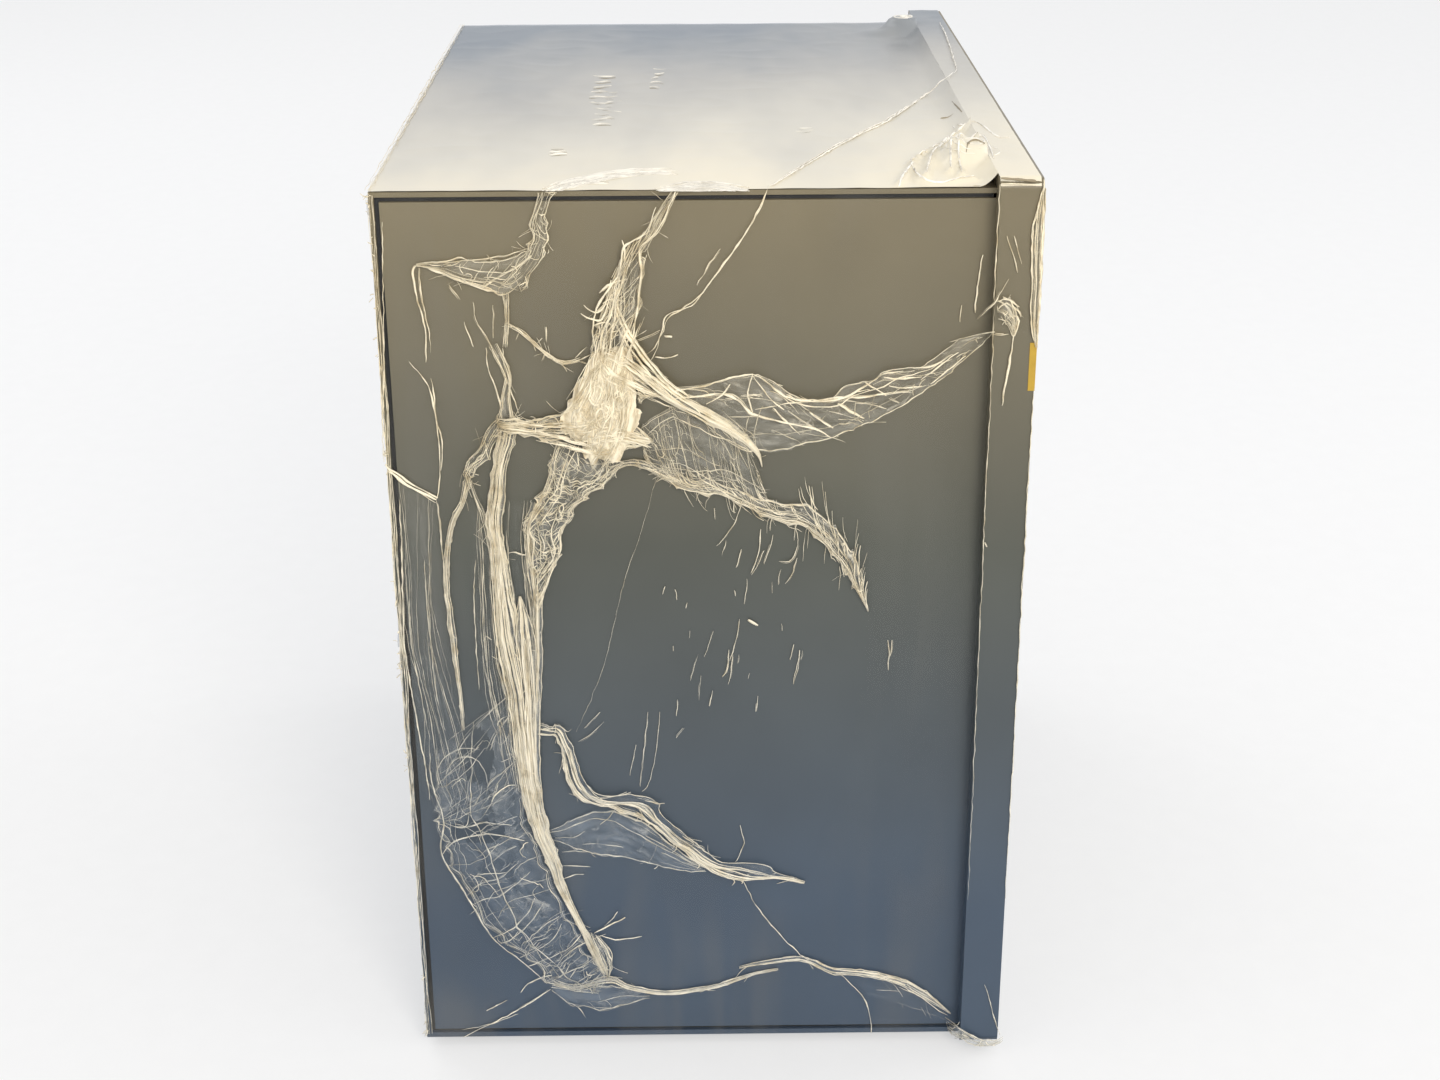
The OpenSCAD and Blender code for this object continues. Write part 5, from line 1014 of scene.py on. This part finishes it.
def inside(border, y, z):
    """Whether a point of the side lies within a closed border."""
    hit = False
    for a, b in zip(border, border[1:] + border[:1]):
        if (a.z > z) != (b.z > z) and y < a.y + (z - a.z) * (b.y - a.y) / (b.z - a.z):
            hit = not hit
    return hit


def knot(material, strand_material, rng):
    """The crumpled lump at the centre of the tear, with the folds that are wound into it."""
    outline = route_of(KNOT_OUTLINE)
    loop = outline + [outline[0]]
    rim = [curve_point(loop, i / RIM_POINTS) for i in range(RIM_POINTS)]
    centre = sum(outline, Vector()) / len(outline)
    heap = Heap()

    def lumpy(point, above=0.0):
        """A point of the side raised onto the lump."""
        inward = min(min((point - other).length for other in rim) / KNOT_DEPTH, 1)
        bent = point + 0.004 * noise.noise_vector(point * 60)
        fold = 1 - 2 * abs(noise.noise(Vector((0, bent.y * 150, bent.z * 75))))
        fine = 1 - 2 * abs(noise.noise(Vector((5, bent.y * 330, bent.z * 210))))
        rise = KNOT_HEIGHT * math.sqrt(1 - (1 - inward) ** 2) * (0.80 + 0.18 * fold + 0.06 * fine)
        return point + OUT["side"] * (max(rise, 0) + above)

    def wound(centres, radii, wiggle):
        filament(heap, centres, rng.choice(radii) * MM, rng.uniform(0.5, 1), 4, wiggle=wiggle)

    points, faces = [lumpy(centre)], []
    for r in range(1, KNOT_RINGS + 1):
        for k in range(KNOT_SIDES):
            edge = curve_point(loop, k / KNOT_SIDES)
            edge = edge + (edge - centre) * (0.10 * noise.noise(edge * 260) + 0.08 * noise.noise(edge * 620))
            points.append(lumpy(centre.lerp(edge, r / KNOT_RINGS)))
    faces += [(0, 1 + (k + 1) % KNOT_SIDES, 1 + k) for k in range(KNOT_SIDES)]
    for r in range(KNOT_RINGS - 1):
        for k in range(KNOT_SIDES):
            a, b = 1 + r * KNOT_SIDES + k, 1 + r * KNOT_SIDES + (k + 1) % KNOT_SIDES
            faces.append((a, b, b + KNOT_SIDES, a + KNOT_SIDES))
    mesh_piece("film_knot", points, faces, material)

    for px, py, wide in KNOT_SWIRLS:
        for _ in range(26):
            turn, sweep = rng.uniform(0, FULL_TURN), rng.uniform(0.8, 3.4) * rng.choice((-1, 1))
            start, end = rng.uniform(0.25, 1.15) * wide, rng.uniform(0.25, 1.15) * wide
            centres = []
            for i in range(13):
                angle, reach = turn + sweep * i / 12, start + (end - start) * i / 12
                centres.append(lumpy(thrown(px + math.cos(angle) * reach * 0.8, py + math.sin(angle) * reach),
                                     0.2 * MM))
            wound(centres, (0.14, 0.2, 0.3, 0.45), 0.3)
    for _ in range(50):
        begin, end, bow = rng.uniform(*UPPER_X), rng.uniform(*LOWER_X), rng.uniform(-9, 9)
        high, low = rng.uniform(*UPPER_Y), rng.uniform(*LOWER_Y)
        wound([lumpy(thrown(begin + (end - begin) * f + bow * math.sin(HALF_TURN * f), high + (low - high) * f),
                     0.3 * MM) for f in (i / 14 for i in range(15))], (0.12, 0.18, 0.3), 0.4)
    for run in KNOT_RUNS:
        for _ in range(12):
            over, up = rng.uniform(-8, 8), rng.uniform(-6, 6)
            course = [thrown(px + over, py + up) for px, py in pairs(run)]
            first, share = rng.uniform(0, 0.4), rng.uniform(0.5, 1)
            centres = []
            for i in range(25):
                flat = curve_point(course, min(first + share * i / 24, 1))
                raised = lumpy(flat) if inside(outline, flat.y, flat.z) else flat
                beside = min((flat - other).length for other in rim) if raised is flat else 0
                lift = max(flat.x - raised.x, 4.5 * MM * max(0, 1 - beside / (30 * MM))) + 0.4 * MM
                centres.append(flat + OUT["side"] * lift)
            wound(centres, (0.14, 0.2, 0.3, 0.4), 0.4)
    heap.piece("film_knot_strands", strand_material)


# ---------------------------------------------------------------- tight film on the sides and the top

# Border of the torn-out part of the left side, in pixels.
TEAR = (600, 478, 655, 470, 697, 491, 738, 500, 776, 519, 817, 536, 844, 562, 867, 612, 862, 700, 840, 800,
        803, 882, 757, 878, 720, 862, 649, 824, 590, 802, 566, 775, 560, 740, 545, 720, 546, 640, 552, 580,
        570, 510)
# Folds of the film wound round the near outlet, in pixels.
FOLDS = (
    (911, 160, 931, 149, 949, 136, 960, 130, 977, 129, 997, 130, 1010, 131),
    (911, 160, 914, 169, 923, 177, 940, 179, 960, 177, 974, 176),
    (951, 136, 941, 146, 931, 160, 926, 172),
    (956, 144, 951, 156, 951, 169),
    (962, 172, 958, 162, 961, 152, 970, 145, 984, 144, 994, 152),
    (953, 121, 957, 125, 963, 129),
    (913, 163, 905, 172, 899, 181))
CRESTS = [point for fold in FOLDS
          for point in curve([on_plane(px, py, Z_AXIS, Z_TOP + 3 * MM) for px, py in pairs(fold)], 30)]
# Film raised over an outlet, with the radius up to which it stays flat, and over each fold.
TENT_HEIGHT, TENT_REACH = 9.3 * MM, 6.5 * MM
CREST_HEIGHT, CREST_WIDTH = 2.4 * MM, 1.9 * MM
FADE_WIDTH, BAND_ROUND = 45 * MM, 3 * MM
# Lower ends, in pixels, of the film on the side of the frame and of the fold on its front.
BAND_END, FOLD_END = (1005, 334), (1036, 350)


def grid_piece(name, place, columns, rows, material, keep=None, fade=None):
    """A sheet given by a function of two shares; keep leaves out cells by their middle, and fade thins it."""
    points = [place(i / columns, j / rows) for i in range(columns + 1) for j in range(rows + 1)]
    uvs = [(i / columns * 3, j / rows * 3) for i in range(columns + 1) for j in range(rows + 1)]
    faces = []
    for i in range(columns):
        for j in range(rows):
            a = i * (rows + 1) + j
            corners = (a, a + rows + 1, a + rows + 2, a + 1)
            if keep is None or keep(sum((points[c] for c in corners), Vector()) / 4):
                faces.append(corners)
    used = sorted({c for face in faces for c in face})
    index = {c: k for k, c in enumerate(used)}
    cover = [1.0 if fade is None else fade(points[c]) for c in used]
    mesh_piece(name, [points[c] for c in used], [tuple(index[c] for c in face) for face in faces], material,
               [uvs[c] for c in used], cover=cover)


def wrinkled(point, out, amount, scale, shift=0.0):
    fold = abs(noise.noise(Vector((point.x, point.y, point.z * 0.6)) * scale + Vector((shift, 0, 0))))
    return point + out * (0.3 * MM + amount * MM * (1 - 2 * min(fold, 0.5)))


def top_rise(point):
    """How far the film on the top stands off it: tented over each outlet and up onto the frame."""
    apart, outlet = min(((math.hypot(point.x - place.x, point.y - place.y), place) for place in OUTLETS),
                        key=lambda pair: pair[0])
    swirl = 1 + 0.10 * math.sin(3 * math.atan2(point.y - outlet.y, point.x - outlet.x) + apart * 500)
    dome = TENT_HEIGHT * math.exp(-max(0.0, apart - TENT_REACH) / (7 * MM)) * (swirl if apart > 8 * MM else 1)
    tent = 7 * MM + 16 * MM * math.exp(-(point.x - outlet.x) ** 2 / (22 * MM) ** 2)
    near = max(0.0, 1 - (point.y - Y_BODY) / tent)
    fold = 0.0
    if apart < 60 * MM:
        crest = min(math.hypot(point.x - other.x, point.y - other.y) for other in CRESTS)
        fold = CREST_HEIGHT * math.exp(-(crest / CREST_WIDTH) ** 2) * min(1, (point.x + X_SIDE) / (6 * MM))
    return max(dome, (Z_FRAME - Z_TOP) * near ** 2) + fold


def skins(skin, top):
    """Tight film on both sides and the top of the body and round the frame's band, torn open on the left."""
    border = route_of(TEAR)
    ring = [curve_point(border + border[:1], i / 80) for i in range(80)]

    def body_side(sign, amount, scale, shift):
        def place(u, v):
            point = Vector((sign * X_SIDE, Y_BODY + u * (Y_REAR - Y_BODY), Z_BASE + v * (Z_TOP - Z_BASE)))
            return wrinkled(point, Vector((sign, 0, 0)), amount, scale, shift)
        return place

    def on_top(u, v):
        point = Vector((-X_SIDE + u * 2 * X_SIDE, Y_BODY + v * (Y_REAR - Y_BODY), Z_TOP))
        return wrinkled(point, OUT["top"], 0.25, 45, 9) + OUT["top"] * top_rise(point)

    def clear_of_tear(point):
        return min(1.0, min(math.hypot(point.y - other.y, point.z - other.z) for other in ring) / FADE_WIDTH)

    def band_top(u, v):
        front = Y_FRONT + 1.2 * MM
        point = Vector((-X_FRAME + u * 2 * X_FRAME, front + v * (Y_BODY - Y_FRONT - 1.2 * MM), Z_FRAME))
        edge = min(point.x + X_FRAME, X_FRAME - point.x)
        sink = BAND_ROUND - math.sqrt(max(0.0, BAND_ROUND ** 2 - max(0.0, BAND_ROUND - edge) ** 2))
        return wrinkled(point, OUT["top"], 0.2, 70, 3) - OUT["top"] * sink

    def band_side(sign, low):
        def place(u, v):
            point = Vector((sign * X_FRAME, Y_FRONT + 1.5 * MM + u * (Y_BODY - Y_FRONT - 1.5 * MM),
                            low + v * (Z_FRAME - 2.5 * MM - low)))
            return wrinkled(point, Vector((sign, 0, 0)), 0.35, 90, 7)
        return place

    grid_piece("film_left", body_side(-1, 0.12, 24, 0), 110, 170, skin, lambda p: not inside(border, p.y, p.z),
               clear_of_tear)
    grid_piece("film_right", body_side(1, 0.9, 26, 5), 70, 110, skin)
    grid_piece("film_top", on_top, 300, 220, top)
    grid_piece("film_band_top", band_top, 150, 12, top)
    grid_piece("film_band_left", band_side(-1, thrown(*BAND_END).z), 10, 60, skin)
    grid_piece("film_band_right", band_side(1, Z_BASE), 10, 90, skin)


def rear_edges(material, rng):
    """Ragged, shrunk film along the rear edges of the body, with crumbs and little spikes."""
    heap = Heap()
    for sign in (-1, 1):
        for lane, level in enumerate((0.5, 0.9, 0.35, 0.8)):
            centres = []
            for i in range(151):
                z = Z_BASE + 2 * MM + (Z_TOP - Z_BASE - 3 * MM) * i / 150
                wave = noise.noise(Vector((sign * 3 + lane * 5, 0, z * 90)))
                turn = noise.noise(Vector((0, sign + lane * 3, z * 40)))
                centres.append(Vector((sign * (X_SIDE + (0.4 + 0.1 * lane + 0.3 * wave) * MM),
                                       Y_REAR + (0.6 * lane - 1.8 + 0.9 * turn) * MM, z)))
            filament(heap, centres, rng.uniform(0.18, 0.34) * MM, level, 4, 0.6)
        tufts = [rng.uniform(Z_BASE, Z_TOP) for _ in range(16)]
        for _ in range(80):
            z = min(max(rng.gauss(rng.choice(tufts), 5 * MM), Z_BASE + 4 * MM), Z_TOP - 1 * MM)
            here = Vector((sign * (X_SIDE + 0.4 * MM), Y_REAR + rng.uniform(-1.2, 0.8) * MM, z))
            way = Vector((sign * rng.uniform(0, 0.5), rng.uniform(0.1, 1), rng.uniform(-1, 1))).normalized()
            size = rng.uniform(0.5, 2.4) * MM
            bend = Vector((0, 0, rng.uniform(-0.5, 0.5) * size))
            filament(heap, hair(here, way, size, bend, (0, 0.35, 0.7, 1)), rng.uniform(0.12, 0.4) * MM,
                     rng.uniform(0.6, 1), tips=0.5)
    for lane in range(3):
        centres = []
        for i in range(121):
            back = 0.8 * MM * noise.noise(Vector((i * 0.4, lane * 9, 0)))
            rise = (0.9 + 0.4 * noise.noise(Vector((i * 0.3, 4, lane)))) * MM
            centres.append(Vector((-X_SIDE + 2 * X_SIDE * i / 120, Y_REAR - (1 - lane) * MM + back, Z_TOP + rise)))
        filament(heap, centres, 0.2 * MM, 0.7, 4, 0.6)
    heap.piece("film_rear_edges", material)


# Rings of film round the near and the far outlet: radius in millimetres, sweep and thickness.
NEAR_RINGS = ((3.4, 5.4, 0.4), (5.6, 5.2, 0.5), (7.6, 3.6, 0.4), (9.5, 4.0, 0.35), (12, 3.0, 0.3))
FAR_RINGS = ((1, 6, 1), (2.4, 6, 1), (3.8, 6, 1), (5.2, 4.4, 0.7))
# Dark strokes of painted shadow by the near outlet, and the soft patches where strands reach the top, in pixels.
SHADOW_STROKES = (((966, 158, 970, 153, 977, 152, 984, 155), 0.6), ((941, 108, 953, 107), 0.5),
           ((952, 98, 957, 105, 962, 112), 0.4), ((975, 178, 988, 182, 994, 188), 0.4))
PATCHES = ((560, 186, 600, 177, 640, 172, 668, 172), (668, 189, 690, 185, 712, 186, 740, 190),
           (552, 190, 575, 182, 600, 181), (664, 190, 700, 188, 716, 189))
# Stacks of short wrinkles on the top: left and upper pixel, width, gap and how many.
WRINKLES = ((591, 76, 26, 5.4, 10), (604, 92, 18, 5.0, 6), (650, 69, 17, 4.6, 5), (548, 148, 24, 3.2, 3),
            (798, 128, 22, 3, 2))
# Seam between the top and the frame, and where the frame and the left edge of the top begin, in pixels.
SLOT = (1001, 178, 1012, 179, 1024, 180, 1036, 181)
FRAME_PIXEL, TOP_EDGE_PIXEL = 992, 191


def top_swirls(material, shadow_finish, rng):
    """Folds of film wound round the outlets, the soft patches where strands reach the top, and dark strokes of
    painted shadow.
    """
    heap, shade = Heap(), Heap()

    def draped(points, above):
        """Points of the top raised onto the film."""
        return [Vector((max(p.x, 1 * MM - X_SIDE), p.y,
                        (Z_FRAME if p.y < Y_BODY else Z_TOP + top_rise(p)) + above * MM)) for p in points]

    def on_top(pixels, height):
        return [on_plane(px, py, Z_AXIS, Z_TOP + height * MM) for px, py in pixels]

    for fold in FOLDS:
        for spread, thick, level in ((0, 0.5, 1), (0.6, 0.4, 0.7), (1.2, 0.3, 0.6), (1.8, 0.2, 0.5)):
            over, up = rng.uniform(-spread, spread), rng.uniform(-spread, spread) * 0.5
            route = [on_plane(px + over, py + up, Z_AXIS, (Z_FRAME if px > FRAME_PIXEL else Z_TOP) + 3 * MM)
                     for px, py in pairs(fold)]
            filament(heap, draped(curve(route, 40), 0.45), thick * MM, level, 6, wiggle=0)
    for middle in OUTLETS:
        for reach, sweep, thick in NEAR_RINGS if middle.x < 0 else FAR_RINGS:
            turn = rng.uniform(0, FULL_TURN)
            ring = [middle + Vector((math.cos(turn + sweep * f), math.sin(turn + sweep * f), 0)) * reach * MM
                    for f in (i / 30 for i in range(31))]
            filament(heap, draped(ring, 0.4), thick * MM, 0.9, 5, wiggle=0.1)
    for pixels, thick in SHADOW_STROKES:
        filament(shade, draped(curve(on_top(pairs(pixels), 5), 16), 0.45), thick * MM, 1, 5, wiggle=0.1)
    for patch in PATCHES:
        for _ in range(34):
            over, up = rng.uniform(-10, 10), rng.uniform(-3.5, 3.0)
            route = on_top([(px + over, min(py + up, TOP_EDGE_PIXEL)) for px, py in pairs(patch)], 0.5)
            filament(heap, curve(route, 16), rng.uniform(0.15, 0.5) * MM, rng.uniform(0.5, 1), wiggle=0.05)
    for left_px, top_px, wide, gap, count in WRINKLES:
        for k in range(count):
            px, py, reach = left_px + rng.uniform(-3, 5), top_px + gap * k, wide * rng.uniform(0.5, 1)
            # Each wrinkle has a pale ridge and, just below it, a thin dark line of painted shadow.
            for below, thick, pile in ((0, 0.55, heap), (1.7, 0.28, shade)):
                route = on_top([(px + reach * f, py + below + 0.8 * math.sin(3 * f + k))
                                for f in (0, 0.25, 0.5, 0.75, 1)], 0.3)
                filament(pile, curve(route, 10), thick * MM, 0.8, wiggle=0)
    # The seam between the top and the frame is drawn as a dark line of painted shadow.
    filament(shade, curve(route_of(SLOT, lift=0.5 * MM), 12), 0.7 * MM, 1, 5, wiggle=0)
    shade.piece("film_top_shadows", shadow_finish)
    heap.piece("film_top_folds", material)


def front_fold(strands, rng):
    """The fold of film that lies on the front face of the frame, down its left edge."""
    heap = Heap()
    top, bottom = Z_FRAME - 4 * MM, thrown(*FOLD_END).z
    for lane in range(9):
        centres = []
        for i in range(61):
            f = i / 60
            z = top + (bottom - top) * f
            wide = (1.5 + 5.5 * math.sin(math.pi * min(1, f * 1.1)) ** 0.7) * MM
            sway = noise.noise(Vector((lane * 1.7, 0, z * 45))) * 1.8 * MM
            depth = (0.5 + 0.5 * abs(noise.noise(Vector((lane, 2, z * 80))))) * MM
            centres.append(Vector((-X_FRAME + 1.2 * MM + wide * (lane / 8) + sway, Y_FRONT - depth, z)))
        filament(heap, centres, rng.uniform(0.2, 0.5) * MM, rng.uniform(0.4, 1))
    heap.piece("film_front_fold", strands)


# ---------------------------------------------------------------- stage

FLOOR_SIZE, FLOOR_LIFT = 60, 0.5
WORLD_COLOR, WORLD_LEVEL, WORLD_SEEN = (0.97, 0.98, 1.0), 0.80, 1.0
# Round area lamps: place, what they face, size, watts and colour.
LAMPS = {
    "key": ((-2.3, -0.7, 1.5), (0, 0, 0.25), 1.0, 34, (1, 0.95, 0.87)),
    "front": ((0.6, -2.2, 1.6), (0, 0, 0.2), 1.4, 8, (1, 1, 1)),
    "rear": ((1.6, 1.6, 1.8), (0, 0, 0.2), 1.4, 8, (0.95, 0.97, 1)),
}


def seen_ray(look):
    """One for the rays that show the surroundings: the camera's own, reflected and let through."""
    rays = [look.node("LightPath", {}, "Is %s Ray" % kind) for kind in ("Camera", "Glossy", "Transmission")]
    return look.most(look.most(rays[0], rays[1]), rays[2])


def make_stage():
    """Pale floor, lifted towards white for the rays that show it, so that it keeps the object's shadow."""
    look = new_look("floor")
    material = look.shade({"Base Color": look.ramp(look.noise(60, 2), (0.3, grey(0.86)), (0.7, grey(0.88))),
                           "Roughness": 0.8})
    nodes = look.tree.nodes
    mixed = look.node("MixShader", {0: look.times(seen_ray(look), FLOOR_LIFT),
                                    1: nodes["Principled BSDF"].outputs["BSDF"],
                                    2: look.node("Emission", {}, "Emission")})
    look.feed(nodes["Material Output"], {"Surface": mixed})
    bpy.ops.mesh.primitive_plane_add(size=FLOOR_SIZE, location=(0, 0, 0))
    floor = bpy.context.object
    floor.name = "floor"
    floor.data.materials.append(material)


def make_world():
    world = bpy.data.worlds.new("world")
    bpy.context.scene.world = world
    look = Look(world)
    look.feed(look.tree.nodes["Background"], {
        "Color": WORLD_COLOR, "Strength": look.remap(seen_ray(look), 0, 1, WORLD_LEVEL, WORLD_SEEN)})


def make_lights():
    for name, (place, target, size, watts, color) in LAMPS.items():
        data = bpy.data.lights.new(name, "AREA")
        data.shape, data.size, data.energy, data.color = "DISK", size, watts, color
        light = bpy.data.objects.new(name, data)
        light.location = place
        light.rotation_euler = (Vector(target) - Vector(place)).to_track_quat("-Z", "Y").to_euler()
        bpy.context.collection.objects.link(light)


# ---------------------------------------------------------------- main

bpy.context.scene.view_settings.view_transform = "Standard"
make_camera()
make_world()
make_stage()
make_lights()
dress_nodes()

strands = filament_finish("film_strands")
# The strands on the top are whitened as painted highlight, to match the bright light on the top.
highlit_strands = filament_finish("film_highlit_strands", 0.8)
# Dark brown finish for the strokes of painted shadow on the top.
shadow_finish = speckled("film_painted_shadow", (0.20, 0.16, 0.10), (0.34, 0.28, 0.18), 0.5, 90)
membranes = {
    "rope": membrane_finish("film_rope", 0.30, 0.95, 0.3, (0.7, 14, 1)),
    "dense": membrane_finish("film_dense", 0.26, 0.95, 0.4, (1.0, 11, 1)),
    "crumple": membrane_finish("film_crumple", 0.24, 0.85, 0.9, (3, 4, 1)),
    "web": membrane_finish("film_web", 0.15, 0.8, 0.6),
    "wing": membrane_finish("film_wing", 0.20, 0.55, 0.35, (2, 4, 1)),
    "blue": membrane_finish("film_blue", 0.18, 0.4, 0.3, (4, 4, 1)),
    "crinkle": membrane_finish("film_crinkle", 0.13, 0.45, 0.55, (3, 3, 1)),
    "faint": membrane_finish("film_faint", 0.05, 0.22, 0.1, (0.7, 10, 1)),
}
rng = random.Random(11)
side_sheets(membranes, strands, rng)
single_strands(strands, highlit_strands, rng)
knot(knot_finish(), strands, rng)
skins(skin_finish(), top_film_finish())
rear_edges(strands, rng)
top_swirls(highlit_strands, shadow_finish, rng)
front_fold(strands, rng)
